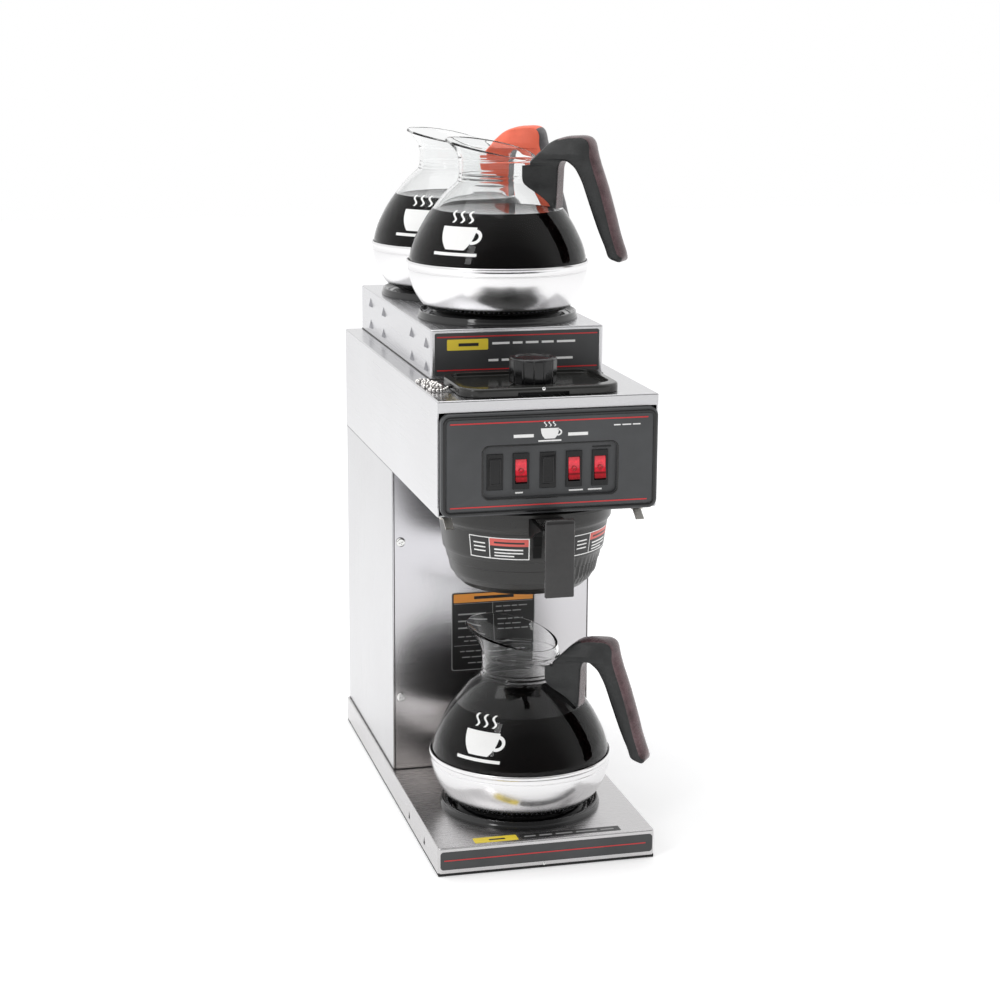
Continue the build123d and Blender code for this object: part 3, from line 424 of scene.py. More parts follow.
def box_bm(x0, x1, d0, d1, z0, z1, bm=None):
    bm = bm or bmesh.new()
    vs = [bm.verts.new(at(x, d, z)) for x in (x0, x1) for d in (d0, d1) for z in (z0, z1)]
    for f in ((0, 1, 3, 2), (4, 6, 7, 5), (0, 4, 5, 1), (2, 3, 7, 6), (0, 2, 6, 4), (1, 5, 7, 3)):
        bm.faces.new([vs[i] for i in f])
    return bm


def rounded(w, h, r, n=6):
    pts = []
    for cx, cy, a0 in ((w / 2 - r, h / 2 - r, 0), (-w / 2 + r, h / 2 - r, 90), (-w / 2 + r, -h / 2 + r, 180), (w / 2 - r, -h / 2 + r, 270)):
        for k in range(n + 1):
            a = radians(a0 + 90 * k / n)
            pts.append((cx + r * cos(a), cy + r * sin(a)))
    return pts


def prism(bm, pts, place, t0, t1):
    """A closed prism from a 2-D outline; place(u, v, t) gives the 3-D point."""
    A = [bm.verts.new(place(u, v, t0)) for u, v in pts]
    B = [bm.verts.new(place(u, v, t1)) for u, v in pts]
    n = len(pts)
    bm.faces.new(A[::-1])
    bm.faces.new(B)
    for i in range(n):
        bm.faces.new((A[i], A[(i + 1) % n], B[(i + 1) % n], B[i]))
    return bm


def on_front(d):
    return lambda u, v, t: at(u, d + t, v)


def on_top(z):
    return lambda u, v, t: at(u, v, z + t)


def label_quads(name, mat, outlines, place, thick, body, lift=0.0):
    bm = bmesh.new()
    for pts in outlines:
        prism(bm, pts, place, lift, lift + thick)
    return new_obj(name, bm, mat, body, smooth=False)


def rect(x0, x1, y0, y1):
    return [(x0, y0), (x1, y0), (x1, y1), (x0, y1)]


def rrect(x0, x1, y0, y1, r):
    return [(u + (x0 + x1) / 2, v + (y0 + y1) / 2) for u, v in rounded(x1 - x0, y1 - y0, r, 4)]


# ---------------------------------------------------------------- camera, light, floor
cam_data = bpy.data.cameras.new("camera")
cam_data.lens = 77.07
cam_data.sensor_width = 36.0
cam_data.sensor_fit = "HORIZONTAL"
cam_data.clip_start = 0.05
cam = bpy.data.objects.new("camera", cam_data)
bpy.context.scene.collection.objects.link(cam)
eye = at(-0.49654, 2.20074, 0.75878)
aim = at(0.0, 0.26957, 0.30156)
fwd = (aim - eye).normalized()
right = fwd.cross(Vector((0, 0, 1))).normalized()
up = right.cross(fwd)
roll = radians(0.332)
cx = right * cos(roll) + up * sin(roll)
cy = -right * sin(roll) + up * cos(roll)
rot = Matrix((cx, cy, -fwd)).transposed().to_4x4()
cam.matrix_world = Matrix.Translation(eye) @ rot
bpy.context.scene.camera = cam

world = bpy.data.worlds.new("studio")
bpy.context.scene.world = world
world.use_nodes = True
wn = world.node_tree
bg = wn.nodes["Background"]
tc = wn.nodes.new("ShaderNodeTexCoord")
sp = wn.nodes.new("ShaderNodeSeparateXYZ")
wn.links.new(tc.outputs["Generated"], sp.inputs[0])
# a white tent that is open, and so darker, on the side the front faces
neg = wn.nodes.new("ShaderNodeMath")
neg.operation = "MULTIPLY"
neg.inputs[1].default_value = -1.0
wn.links.new(sp.outputs["Y"], neg.inputs[0])
tent = ramp(wn, neg.outputs[0], [(0.0, 1.0), (0.42, 0.95), (0.75, 0.34), (1.0, 0.24)])
lp = wn.nodes.new("ShaderNodeLightPath")
mixw = wn.nodes.new("ShaderNodeMix")
mixw.data_type = "RGBA"
wn.links.new(lp.outputs["Is Camera Ray"], mixw.inputs["Factor"])
wn.links.new(tent.outputs["Color"], mixw.inputs["A"])
mixw.inputs["B"].default_value = (1, 1, 1, 1)
wn.links.new(mixw.outputs["Result"], bg.inputs["Color"])
bg.inputs["Strength"].default_value = 1.0
bpy.context.scene.view_settings.view_transform = "Standard"
bpy.context.scene.view_settings.look = "None"


def area(name, loc, target, size, energy, size_y=None, color=(1, 1, 1)):
    L = bpy.data.lights.new(name, "AREA")
    L.energy = energy
    L.color = color
    L.shape = "RECTANGLE"
    L.size = size
    L.size_y = size_y or size
    o = bpy.data.objects.new(name, L)
    bpy.context.scene.collection.objects.link(o)
    o.location = loc
    o.rotation_euler = (Vector(target) - Vector(loc)).to_track_quat("-Z", "Y").to_euler()
    return o


area("key_top", (-0.3, 0.2, 2.4), (0, 0, 0.3), 1.8, 14)
area("front_left_strip", (-1.7, -1.3, 1.5), (0, 0, 0.3), 0.35, 7, 1.2)

bm = bmesh.new()
bmesh.ops.create_grid(bm, x_segments=1, y_segments=1, size=6.0)
me = bpy.data.meshes.new("floor")
bm.to_mesh(me)
bm.free()
floor = bpy.data.objects.new("floor", me)
bpy.context.scene.collection.objects.link(floor)
m, nt, b = material("floor_paper")
n = obj_noise(nt, 3.0, 2.0, 0.5)
c = ramp(nt, n.outputs["Fac"], [(0.3, (0.955, 0.955, 0.958)), (0.7, (0.97, 0.97, 0.972))])
nt.links.new(c.outputs["Color"], b.inputs["Base Color"])
b.inputs["Roughness"].default_value = 0.85
b.inputs["Specular IOR Level"].default_value = 0.1
b.inputs["Emission Color"].default_value = (1, 1, 1, 1)
b.inputs["Emission Strength"].default_value = 0.20
M["floor"] = m
me.materials.append(m)

# ---------------------------------------------------------------- decanters
GLASS_OUT = [
    (82.8, 46.0), (82.9, 50.0), (82.9, 54.5), (82.3, 59.5), (79.0, 70.5), (72.0, 85.0), (65.2, 96.0), (57.8, 106.0),
    (50.0, 115.4), (43.5, 121.6), (38.6, 126.0), (36.8, 130.0), (36.5, 138.0), (36.6, 144.0),
]
SEG = 144
COFFEE_H = 100.4


def ridge(h):
    """Two moulded rings: one where the neck meets the shoulder, one under the pouring lip."""
    return 0.8 * math.exp(-((h - 128.6) / 0.9) ** 2) + 0.55 * math.exp(-((h - 132.2) / 0.7) ** 2) + 0.6 * math.exp(-((h - 146.6) / 0.9) ** 2)


def resample(points, step):
    out = [points[0]]
    for a, b in zip(points, points[1:]):
        n = max(1, int(hypot(b[0] - a[0], b[1] - a[1]) / step))
        for k in range(1, n + 1):
            out.append((a[0] + (b[0] - a[0]) * k / n, a[1] + (b[1] - a[1]) * k / n))
    return out


def glass_radius(h):
    pts = catmull(GLASS_OUT, 5)
    for a, b in zip(pts, pts[1:]):
        if a[1] <= h <= b[1]:
            return a[0] + (b[0] - a[0]) * (h - a[1]) / max(1e-6, b[1] - a[1])
    return pts[-1][0]


# pouring lip: height and radius on the handle side, then at the spout
LIP = {"lower": (154.5, 34.4, 173.0, 52.0), "front": (147.6, 35.2, 163.5, 49.6), "rear": (147.6, 35.2, 163.5, 49.6)}


def decanter_glass(which, d, deck):
    h_back, r_back, h_tip, r_tip = LIP[which]
    low = catmull(GLASS_OUT, 5)
    lower = [q for q in low if q[1] < 124] + resample([q for q in low if q[1] >= 124], 0.7)
    c = at(0, d, deck)
    bm = bmesh.new()
    cols = []
    for j in range(SEG):
        th = 2 * pi * j / SEG                      # from the handle side
        sp_ = (1 - cos(th)) / 2
        lip_h = h_back + (h_tip - h_back) * sp_ ** 1.15
        lip_r = r_back + (r_tip - r_back) * sp_ ** 2.3 + 2.6 * sin(pi * sp_)
        prof = list(lower)
        for k in range(1, 17):
            t = k / 16
            prof.append((36.6 + (lip_r - 36.6) * t ** 1.9, 144.0 + (lip_h - 144.0) * t))
        inner = offset_curve(prof, 2.3)
        prof = [(r + ridge(h), h) for r, h in prof]
        (ax, ay), (bx, by) = prof[-1], inner[-1]
        mx, my = (ax + bx) / 2, (ay + by) / 2
        dx, dy = prof[-1][0] - prof[-2][0], prof[-1][1] - prof[-2][1]
        n = hypot(dx, dy)
        tip = [(ax + dx / n * 0.9, ay + dy / n * 0.9), (mx + dx / n * 1.3, my + dy / n * 1.3), (bx + dx / n * 0.9, by + dy / n * 0.9)]
        loop = prof + tip + inner[::-1]
        a = HANDLE_AZ + th
        cols.append([bm.verts.new((c.x + r * MM * cos(a), c.y + r * MM * sin(a), c.z + h * MM)) for r, h in loop])
    rows = len(cols[0])
    for j in range(SEG):
        A, B = cols[j], cols[(j + 1) % SEG]
        for i in range(rows):
            k = (i + 1) % rows
            bm.faces.new((A[i], A[k], B[k], B[i]))
    return new_obj(f"glass_{which}", bm, "glass", f"decanter_{which}", (f"decanter_{which}_glass",), angle=60)


def decanter_bowl(which, d, deck):
    outer = catmull([(60.0, 9.0), (66.0, 9.7), (70.6, 13.0), (75.6, 20.0), (79.8, 28.0), (82.8, 37.0), (84.0, 43.0)], 6)
    line = [(84.15, 45.4), (83.7, 45.8), (83.75, 46.3), (84.3, 46.7), (84.45, 49.5)]
    bead = [(84.5 + 0.95 * cos(radians(t)), 52.4 + 1.9 * sin(radians(t))) for t in range(-75, 106, 15)]
    inner_top = [(83.6, 53.9), (83.25, 52.5), (83.2, 50.0)]
    inner = [(r - 0.75, h + 0.35) for r, h in outer[::-1]]
    foot = [(57.0, 9.0), (55.5, 9.6), (30.0, 9.7), (0, 9.7)]
    prof = foot[::-1] + outer + line + bead + inner_top + inner + [(56.0, 10.3), (0, 10.4)]
    bm = lathe([(r * MM, h * MM) for r, h in prof], at(0, d, deck), SEG, closed=False)
    return new_obj(f"bowl_{which}", bm, "bowl", f"decanter_{which}", (f"decanter_{which}_bowl",), angle=40)


def decanter_coffee(which, d, deck):
    inner = offset_curve(catmull(GLASS_OUT, 5), 2.3)
    wet = [(r + 0.8, h) for r, h in inner if 46.5 < h < COFFEE_H - 0.8]
    low = [(0, 10.7), (55.5, 10.7), (64.8, 11.4), (69.4, 14.2), (74.4, 21.0), (78.6, 29.0), (81.6, 38.0), (82.6, 45.6)]
    rt = wet[-1][0] - (COFFEE_H + 0.3 - wet[-1][1]) * 0.74
    top = [(rt + 0.1, COFFEE_H + 0.5), (rt - 0.9, COFFEE_H + 0.2), (rt - 3.0, COFFEE_H), (0, COFFEE_H - 0.05)]
    bm = lathe([(r * MM, h * MM) for r, h in low + wet + top], at(0, d, deck), SEG, closed=False)
    return new_obj(f"coffee_{which}", bm, "coffee", f"decanter_{which}", (f"decanter_{which}_coffee",), angle=30)


# outline in the handle's own plane (distance from the axis, height above the deck), clockwise
HANDLE_TOP = [
    (37.2, 146.0), (56, 165.3), (69, 170.3), (87, 171.3), (93.2, 168.6), (96.5, 162), (101.5, 145), (109, 125),
    (116, 102), (121.5, 82), (128.2, 64), (125, 56.7), (112.7, 60.5), (110, 69.5), (103, 84.5), (94, 108), (86, 130),
    (79, 142), (71, 147.5), (65.5, 147.5), (63, 142), (61.4, 103.4),
]
HANDLE_CUT = {0: 2.0, 1: 10, 2: 8, 3: 7, 4: 6, 5: 8, 10: 4.0, 11: 4.5, 12: 4.5, 13: 5, 17: 6, 18: 3.5, 19: 3.0, 20: 3.5, 21: 0.4}


def soften(points, cuts, per=6):
    """Closed outline with each corner replaced by a short curve."""
    out = []
    n = len(points)
    for i, p in enumerate(points):
        a, b = points[i - 1], points[(i + 1) % n]
        la, lb = hypot(a[0] - p[0], a[1] - p[1]), hypot(b[0] - p[0], b[1] - p[1])
        cut = min(cuts.get(i, 12.0), 0.46 * la, 0.46 * lb)
        s0 = (p[0] + (a[0] - p[0]) * cut / la, p[1] + (a[1] - p[1]) * cut / la)
        s1 = (p[0] + (b[0] - p[0]) * cut / lb, p[1] + (b[1] - p[1]) * cut / lb)
        for k in range(per + 1):
            t = k / per
            out.append((
                (1 - t) ** 2 * s0[0] + 2 * t * (1 - t) * p[0] + t * t * s1[0],
                (1 - t) ** 2 * s0[1] + 2 * t * (1 - t) * p[1] + t * t * s1[1],
            ))
    return out


def decanter_handle(which, d, deck, mat, spine):
    """Moulded handle: a block that fits round the neck, a crowned back and a coarser-grained band along its edge in a
    second material, on the black handles a lighter brown-purple painted reflection.
    """
    c = at(0, d, deck)
    ca, sa = cos(HANDLE_AZ), sin(HANDLE_AZ)
    rnd = random.Random(11)

    def place(r, h, t):
        return Vector((c.x + (r * ca - t * sa) * MM, c.y + (r * sa + t * ca) * MM, c.z + h * MM))

    free = soften(HANDLE_TOP, HANDLE_CUT, 5)
    free = resample(free, 1.3)
    seat = [(glass_radius(h) + 0.5, h) for h in (106, 108.5, 111, 113.5, 116, 118.5, 121, 123.5, 126, 128.5, 131, 134, 137, 140, 143)]
    pts = [(r, h, False) for r, h in free] + [(r, h, True) for r, h in seat]
    n = len(pts)

    def crown(r, h):
        """1 along the back of the grip and over its top, 0 elsewhere."""
        line = [(66, 171), (87, 171.3), (96.5, 162), (101.5, 145), (109, 125), (116, 102), (121.5, 82), (126.5, 68)]
        best = 1e9
        for (x0, y0), (x1, y1) in zip(line, line[1:]):
            L = (x1 - x0) ** 2 + (y1 - y0) ** 2
            t = min(1, max(0, ((r - x0) * (x1 - x0) + (h - y0) * (y1 - y0)) / L))
            best = min(best, hypot(r - x0 - t * (x1 - x0), h - y0 - t * (y1 - y0)))
        return 1.0 if best < 5.0 else 0.0

    wgt = [crown(r, h) for r, h, k in pts]
    for _ in range(6):
        wgt = [(wgt[i - 1] + 2 * wgt[i] + wgt[(i + 1) % n]) / 4 for i in range(n)]
    wave = [rnd.uniform(-1, 1) for _ in range(n)]
    for _ in range(3):
        wave = [(wave[i - 1] + 2 * wave[i] + wave[(i + 1) % n]) / 4 for i in range(n)]
    normals = []
    for i, (x, y, k) in enumerate(pts):
        a, b2 = pts[i - 1], pts[(i + 1) % n]
        e = Vector((b2[0] - a[0], b2[1] - a[1])).normalized()
        normals.append(Vector((e.y, -e.x)))          # inward for a clockwise outline
    rows = [-1.0, -0.975, -0.93, -0.87, -0.78, -0.66, -0.52, -0.36, -0.18, 0.0, 0.18, 0.36, 0.52, 0.66, 0.78, 0.87, 0.93, 0.975, 1.0]
    bm = bmesh.new()
    layers, flat = [], []
    for f in rows:
        ring, ring2 = [], []
        for i, (x, y, conform) in enumerate(pts):
            k = min(1.0, max(0.0, (60.0 - x) / 20.0))
            half = 10.4 + 8.6 * k * k * (3 - 2 * k)
            t = f * half
            if conform:
                rr = sqrt(max(x * x - t * t, 1.0))
                ring.append(bm.verts.new(place(rr, y, t)))
                ring2.append((rr, y))
                continue
            small = 2.0 * max(0.0, (abs(f) - 0.72) / 0.28) ** 2
            small *= min(1.0, max(0.08, (y - 103.0) / 9.0)) if x < 66 else 1.0
            g = min(1.0, max(0.0, (166.0 - y) / 14.0))
            big = (3.0 + 4.2 * g * g * (3 - 2 * g)) * (1 - sqrt(max(0.0, 1 - min(1.0, abs(f)) ** 2.3)))
            ins = small * (1 - wgt[i]) + big * wgt[i]
            if wgt[i] > 0.5 and abs(f) < 0.8:
                ins += 0.16 * (1 + wave[i])
            px_, py_ = x + normals[i].x * ins, y + normals[i].y * ins
            if px_ < 60 and py_ < 150:
                need = (glass_radius(max(103.0, min(143.5, py_))) + 0.5) ** 2 - t * t
                if px_ * px_ < need:
                    px_ = sqrt(need)
            ring.append(bm.verts.new(place(px_, py_, t)))
            ring2.append((px_, py_))
        layers.append(ring)
        flat.append(ring2)
    for q, (L0, L1) in enumerate(zip(layers, layers[1:])):
        fm = abs(rows[q] + rows[q + 1]) / 2
        for i in range(n):
            k = (i + 1) % n
            f = bm.faces.new((L0[i], L0[k], L1[k], L1[i]))
            if pts[i][2]:
                continue
            if which == "rear" and pts[i][0] < 91 and pts[i][1] > 150:
                continue
            # faces of the rounded back and edges take the second material: painted reflection on the black handles,
            # dark grey on the orange one
            if (wgt[i] > 0.45 and fm < 0.955) or (wgt[i] <= 0.45 and fm < 0.80):
                f.material_index = 1
    for L, ring2 in ((layers[0], flat[0]), (layers[-1], flat[-1])):
        tris = tessellate_polygon([[Vector((r, h, 0)) for r, h in ring2]])
        for a, b2, c2 in tris:
            if len({a, b2, c2}) == 3:
                try:
                    bm.faces.new((L[a], L[b2], L[c2]))
                except ValueError:
                    pass
    return new_obj(f"handle_{which}", bm, [mat, spine], f"decanter_{which}",
                   (f"decanter_{which}_handle",), angle=38)


def wrap(d, deck, az0, radius, lift=0.12):
    """Maps (u along the surface, h above the deck) to a point on a round body about a warmer axis."""
    c = at(0, d, deck)

    def place(u, h, t):
        r = radius(h)
        a = radians(az0) + u / max(r, 1.0)
        q = r + lift + t
        return Vector((c.x + q * MM * cos(a), c.y + q * MM * sin(a), c.z + h * MM))
    return place


def strip(bm, left, right, place, thick):
    """A thin closed band between two rows of 2-D points."""
    rowsets = []
    for (u0, v0), (u1, v1) in zip(left, right):
        rowsets.append([bm.verts.new(place(u0, v0, 0)), bm.verts.new(place(u1, v1, 0)),
                        bm.verts.new(place(u1, v1, thick)), bm.verts.new(place(u0, v0, thick))])
    for A, B in zip(rowsets, rowsets[1:]):
        for i in range(4):
            k = (i + 1) % 4
            bm.faces.new((A[i], A[k], B[k], B[i]))
    bm.faces.new(rowsets[0][::-1])
    bm.faces.new(rowsets[-1])


def line2(a, b, n=8):
    return [(a[0] + (b[0] - a[0]) * k / n, a[1] + (b[1] - a[1]) * k / n) for k in range(n + 1)]


def bar(bm, u0, u1, v0, v1, place, thick, n=8):
    strip(bm, line2((u0, v0), (u1, v0), n), line2((u0, v1), (u1, v1), n), place, thick)


def cup_mark(bm, place, thick, cx, cy, w):
    """A plain cup with saucer and steam, as a generic printed mark."""
    k = w / 40.0
    n = 14
    bowl_l, bowl_r = [], []
    for i in range(n + 1):
        t = i / n
        half = 14.0 * (1 - 0.45 * t ** 2.6)
        y = cy + (7 - 16 * t) * k
        bowl_l.append((cx - half * k, y))
        bowl_r.append((cx + half * k, y))
    rows = list(zip(bowl_l, bowl_r))
    for a, b in zip(rows, rows[1:]):
        strip(bm, line2(a[0], a[1], 6), line2(b[0], b[1], 6), place, thick)
    ring_o, ring_i = [], []
    for i in range(13):
        a = radians(-100 + 190 * i / 12)
        ring_o.append((cx + (12.6 + 6.6 * cos(a)) * k, cy + (0.4 + 5.4 * sin(a)) * k))
        ring_i.append((cx + (12.6 + 4.2 * cos(a)) * k, cy + (0.4 + 3.2 * sin(a)) * k))
    strip(bm, ring_o, ring_i, place, thick)
    bar(bm, cx - 18 * k, cx + 18 * k, cy - 13.2 * k, cy - 11.0 * k, place, thick, 10)
    for s0 in (-7, 0, 7):
        L, R = [], []
        for i in range(11):
            t = i / 10
            x = cx + (s0 + 1.7 * sin(t * 2 * pi)) * k
            y = cy + (9.6 + 8.2 * t) * k
            L.append((x - 0.95 * k, y))
            R.append((x + 0.95 * k, y))
        strip(bm, L, R, place, thick)


def dashes(bm, place, thick, u0, u1, v0, v1, count, seed):
    """A row of plain rules of uneven length, standing in for small print."""
    rnd = random.Random(seed)
    h = abs(v1 - v0)
    x = u0
    while x < u1 - 2.0 * h:
        w = min(h * rnd.uniform(2.6, 6.0), u1 - x)
        bar(bm, x, x + w, v0 * 0.8 + v1 * 0.2, v0 * 0.2 + v1 * 0.8, place, thick, 2)
        x += w + h * 0.9


for which, (wd, deck) in WARMERS.items():
    decanter_glass(which, wd, deck)
    decanter_bowl(which, wd, deck)
    decanter_coffee(which, wd, deck)
    decanter_handle(which, wd, deck, "orange" if which == "rear" else "handle", "spine_grey" if which == "rear" else "spine")
    # printed cup on the glass, left of the front
    bm = bmesh.new()
    pl = wrap(wd, deck, -134.0, glass_radius, 0.1)
    cup_mark(bm, pl, 0.12, 0.0, 81.0, 50.0)
    new_obj(f"glass_print_{which}", bm, "ink_print", f"decanter_{which}", smooth=False)

# ---------------------------------------------------------------- warmers
RING = [
    (64.2, 0.1), (64.2, 2.2), (65.2, 2.7), (67.4, 3.1), (69.6, 3.9), (71.2, 5.0), (72.0, 6.4), (72.8, 7.0), (73.9, 6.7), (74.4, 5.6),
    (74.5, 4.0), (74.9, 3.4), (75.3, 2.9), (75.5, 2.0), (75.5, 0.1),
]
bm_holes = bmesh.new()
for which, (wd, deck) in WARMERS.items():
    bm = lathe([(r * MM, h * MM) for r, h in RING], at(0, wd, deck), 160, closed=True)
    o = new_obj(f"warmer_ring_{which}", bm, "enamel", "chassis", ("warmer_rings",) if which == "lower" else (), angle=50)
    c = at(0, wd, deck)
    for i in range(84):
        a = 2 * pi * i / 84
        q = Vector((c.x + 0.0684 * cos(a), c.y + 0.0684 * sin(a), c.z + 0.0036))
        nrm = Vector((-cos(a) * 0.36, -sin(a) * 0.36, 0.93)).normalized()
        t1 = Vector((-sin(a), cos(a), 0))
        t2 = nrm.cross(t1)
        vs0 = [bm_holes.verts.new(q + (t1 * cos(2 * pi * k / 8) + t2 * sin(2 * pi * k / 8)) * 0.00095 - nrm * 0.0004) for k in range(8)]
        vs1 = [bm_holes.verts.new(q + (t1 * cos(2 * pi * k / 8) + t2 * sin(2 * pi * k / 8)) * 0.00080 + nrm * 0.00022) for k in range(8)]
        for k in range(8):
            bm_holes.faces.new((vs0[k], vs0[(k + 1) % 8], vs1[(k + 1) % 8], vs1[k]))
        bm_holes.faces.new(vs1)
        bm_holes.faces.new(vs0[::-1])
new_obj("warmer_ring_vents", bm_holes, "galv", "chassis", angle=30)

# ---------------------------------------------------------------- brew funnel
FUNNEL = [
    (90.4, 327.2), (90.4, 324.6), (90.0, 324.4), (81.4, 324.4), (80.8, 323.6), (80.5, 310.6), (79.9, 309.6), (78.3, 307.8), (78.0, 306.4),
    (77.4, 305.8), (73.9, 280.8), (73.3, 280.0), (72.4, 279.7), (72.1, 279.0), (70.2, 270.8), (69.4, 270.2), (67.8, 262.0),
    (67.0, 258.9), (66.6, 258.2), (65.7, 257.8), (63.0, 252.9), (62.4, 252.1), (61.3, 251.6), (57.4, 247.4), (56.2, 246.6), (10.0, 244.8), (9.0, 241.2), (5.2, 241.0),
    (5.0, 247.5), (10.0, 248.0), (54.5, 249.8), (57.0, 252.0), (61.0, 258.0), (64.9, 268.0), (69.0, 281.0), (73.0, 300.0), (75.6, 308.0),
    (78.2, 312.0), (78.4, 327.0), (79.0, 327.4), (89.8, 327.4),
]


def funnel_r(z):
    pts = FUNNEL[3:25]
    for a, b in zip(pts, pts[1:]):
        if b[1] <= z <= a[1]:
            return b[0] + (a[0] - b[0]) * (z - b[1]) / max(1e-6, a[1] - b[1])
    return 72.0


segs = 288
bm = bmesh.new()
fc = at(0, FUNNEL_D, 0)
fine_prof = []
for i, q in enumerate(FUNNEL):
    nx = FUNNEL[(i + 1) % len(FUNNEL)]
    L = hypot(nx[0] - q[0], nx[1] - q[1])
    m_ = max(1, int(L / 3.0)) if i < 26 else 1
    for k in range(m_):
        fine_prof.append((q[0] + (nx[0] - q[0]) * k / m_, q[1] + (nx[1] - q[1]) * k / m_, i < 26))
rings = []
for r, z, out in fine_prof:
    ring = []
    for j in range(segs):
        a = 2 * pi * j / segs
        deg = math.degrees(a) if a <= pi else math.degrees(a) - 360
        rr = r
        if out and 250.5 < z < 277.0 and (-72 < deg < -22 or 158 > deg > 108):
            rr = r - 0.9 * (0.5 + 0.5 * cos(72 * a)) * min(1.0, (z - 250.5) / 3.0, (277.0 - z) / 3.0)
        ring.append(bm.verts.new((fc.x + rr * MM * cos(a), fc.y + rr * MM * sin(a), z * MM)))
    rings.append(ring)
nr = len(rings)
for i in range(nr):
    A, B = rings[i], rings[(i + 1) % nr]
    for j in range(segs):
        k = (j + 1) % segs
        bm.faces.new((A[j], A[k], B[k], B[j]))
new_obj("funnel_bowl", bm, "funnel", "funnel", ("funnel_body",), angle=32)

fw = wrap(FUNNEL_D, 0.0, 0.0, lambda h: 74.2 if h > 294 else 73.6, 0.25)


def on_funnel(az0, tilt=0.0):
    c = at(0, FUNNEL_D, 0)

    def place(u, h, t):
        r = funnel_r(h) + 0.22 + t
        a = radians(az0) + u / 73.5
        return Vector((c.x + r * MM * cos(a), c.y + r * MM * sin(a), h * MM))
    return place


def funnel_label(name, az0, az1, z0, z1):
    pl = on_funnel(az0)
    w = radians(az1 - az0) * 73.5
    h = z1 - z0
    nz = 10

    def patch(bm, u0, u1, v0, v1, thick, nu):
        for i in range(nz):
            a, b = v0 + (v1 - v0) * i / nz, v0 + (v1 - v0) * (i + 1) / nz
            bar(bm, u0, u1, a, b, pl, thick, nu)

    bm = bmesh.new()
    patch(bm, 0, w, z0, z1, 0.10, 20)
    new_obj(name + "_border", bm, "ink_print", "funnel", smooth=False)
    bm = bmesh.new()
    patch(bm, 0.9, w - 0.9, z0 + 0.9, z1 - 0.9, 0.14, 20)
    new_obj(name + "_field", bm, "ink_black", "funnel", smooth=False)
    bm = bmesh.new()
    patch(bm, w * 0.37, w - 0.9, z0 + h * 0.62, z1 - 0.9, 0.18, 14)
    new_obj(name + "_header", bm, "ink_pink", "funnel", smooth=False)
    bm = bmesh.new()
    up = lambda u, v, t: pl(u, v, t + 0.14)
    bar(bm, w * 0.355, w * 0.368, z0 + 0.9, z1 - 0.9, up, 0.06, 1)
    bar(bm, w * 0.08, w * 0.29, z0 + h * 0.30, z0 + h * 0.36, up, 0.06, 4)
    bar(bm, w * 0.08, w * 0.29, z0 + h * 0.48, z0 + h * 0.54, up, 0.06, 4)
    bar(bm, w * 0.08, w * 0.29, z0 + h * 0.66, z0 + h * 0.72, up, 0.06, 4)
    bar(bm, w * 0.44, w * 0.90, z0 + h * 0.42, z0 + h * 0.49, up, 0.06, 6)
    bar(bm, w * 0.44, w * 0.90, z0 + h * 0.27, z0 + h * 0.33, up, 0.06, 6)
    bar(bm, w * 0.44, w * 0.76, z0 + h * 0.13, z0 + h * 0.19, up, 0.06, 6)
    new_obj(name + "_print", bm, "ink_print", "funnel", smooth=False)
    bm = bmesh.new()
    bar(bm, w * 0.44, w * 0.92, z0 + h * 0.73, z0 + h * 0.81, lambda u, v, t: pl(u, v, t + 0.18), 0.06, 6)
    new_obj(name + "_mark", bm, "ink_black", "funnel", smooth=False)


funnel_label("funnel_label_left", -143.5, -100.5, 283.0, 303.2)
funnel_label("funnel_label_right", -69.0, -26.0, 283.0, 302.6)

# strap handle: rounded sheet of moulding with a folded-over top, and the small arm beside it
STRAP = [(436.4, 324.2), (436.4, 320.2), (472.6, 320.2), (475.8, 317.0), (475.8, 261.4), (479.5, 261.4), (479.7, 327.8), (478.0, 330.4),
         (475.0, 330.8), (470.2, 328.2), (466.0, 324.5)]
bm = bmesh.new()
sp_pts = soften(STRAP, {0: 0.8, 1: 0.8, 2: 3.0, 3: 3.0, 4: 0.9, 5: 0.9, 6: 1.6, 7: 1.6, 8: 1.6, 9: 3, 10: 3}, 5)
prev = None
first = None
for xx, ins in ((-13.0, 0.9), (-12.7, 0.35), (-12.0, 0.0), (-6.0, 0.0), (0.0, 0.0), (6.0, 0.0), (12.0, 0.0), (12.7, 0.35), (13.0, 0.9)):
    nn = len(sp_pts)
    ring = []
    for i, (dd, zz) in enumerate(sp_pts):
        a, b2 = sp_pts[i - 1], sp_pts[(i + 1) % nn]
        e = Vector((b2[0] - a[0], b2[1] - a[1]))
        e = e.normalized() if e.length > 1e-9 else Vector((1, 0))
        ring.append(bm.verts.new(at(xx * MM, (dd - e.y * ins) * MM, (zz + e.x * ins) * MM)))
    if prev:
        for i in range(nn):
            k = (i + 1) % nn
            bm.faces.new((prev[i], prev[k], ring[k], ring[i]))
    else:
        first = ring
    prev = ring
bm.faces.new(first)
bm.faces.new(prev)
bmesh.ops.triangulate(bm, faces=[f for f in bm.faces if len(f.verts) > 4])
new_obj("funnel_strap", bm, "strap", "funnel", ("funnel_handle",), angle=40)

# the small arm beside the strap, coloured near-black: painted shadow of the gap between strap and bowl
bm = bmesh.new()
prism(bm, soften([(434.0, 323.6), (434.0, 305.6), (441.0, 306.2), (458.0, 315.6), (473.0, 319.6), (473.0, 321.6), (448.0, 322.0), (444.0, 323.8)], {}, 4), lambda u, v, t: at(-t * MM, u * MM, v * MM), 13.4, 16.0)
o = new_obj("funnel_strap_web_shadow", bm, "ink_shadow", "funnel", angle=40)
bevel(o, 0.0004, 2)
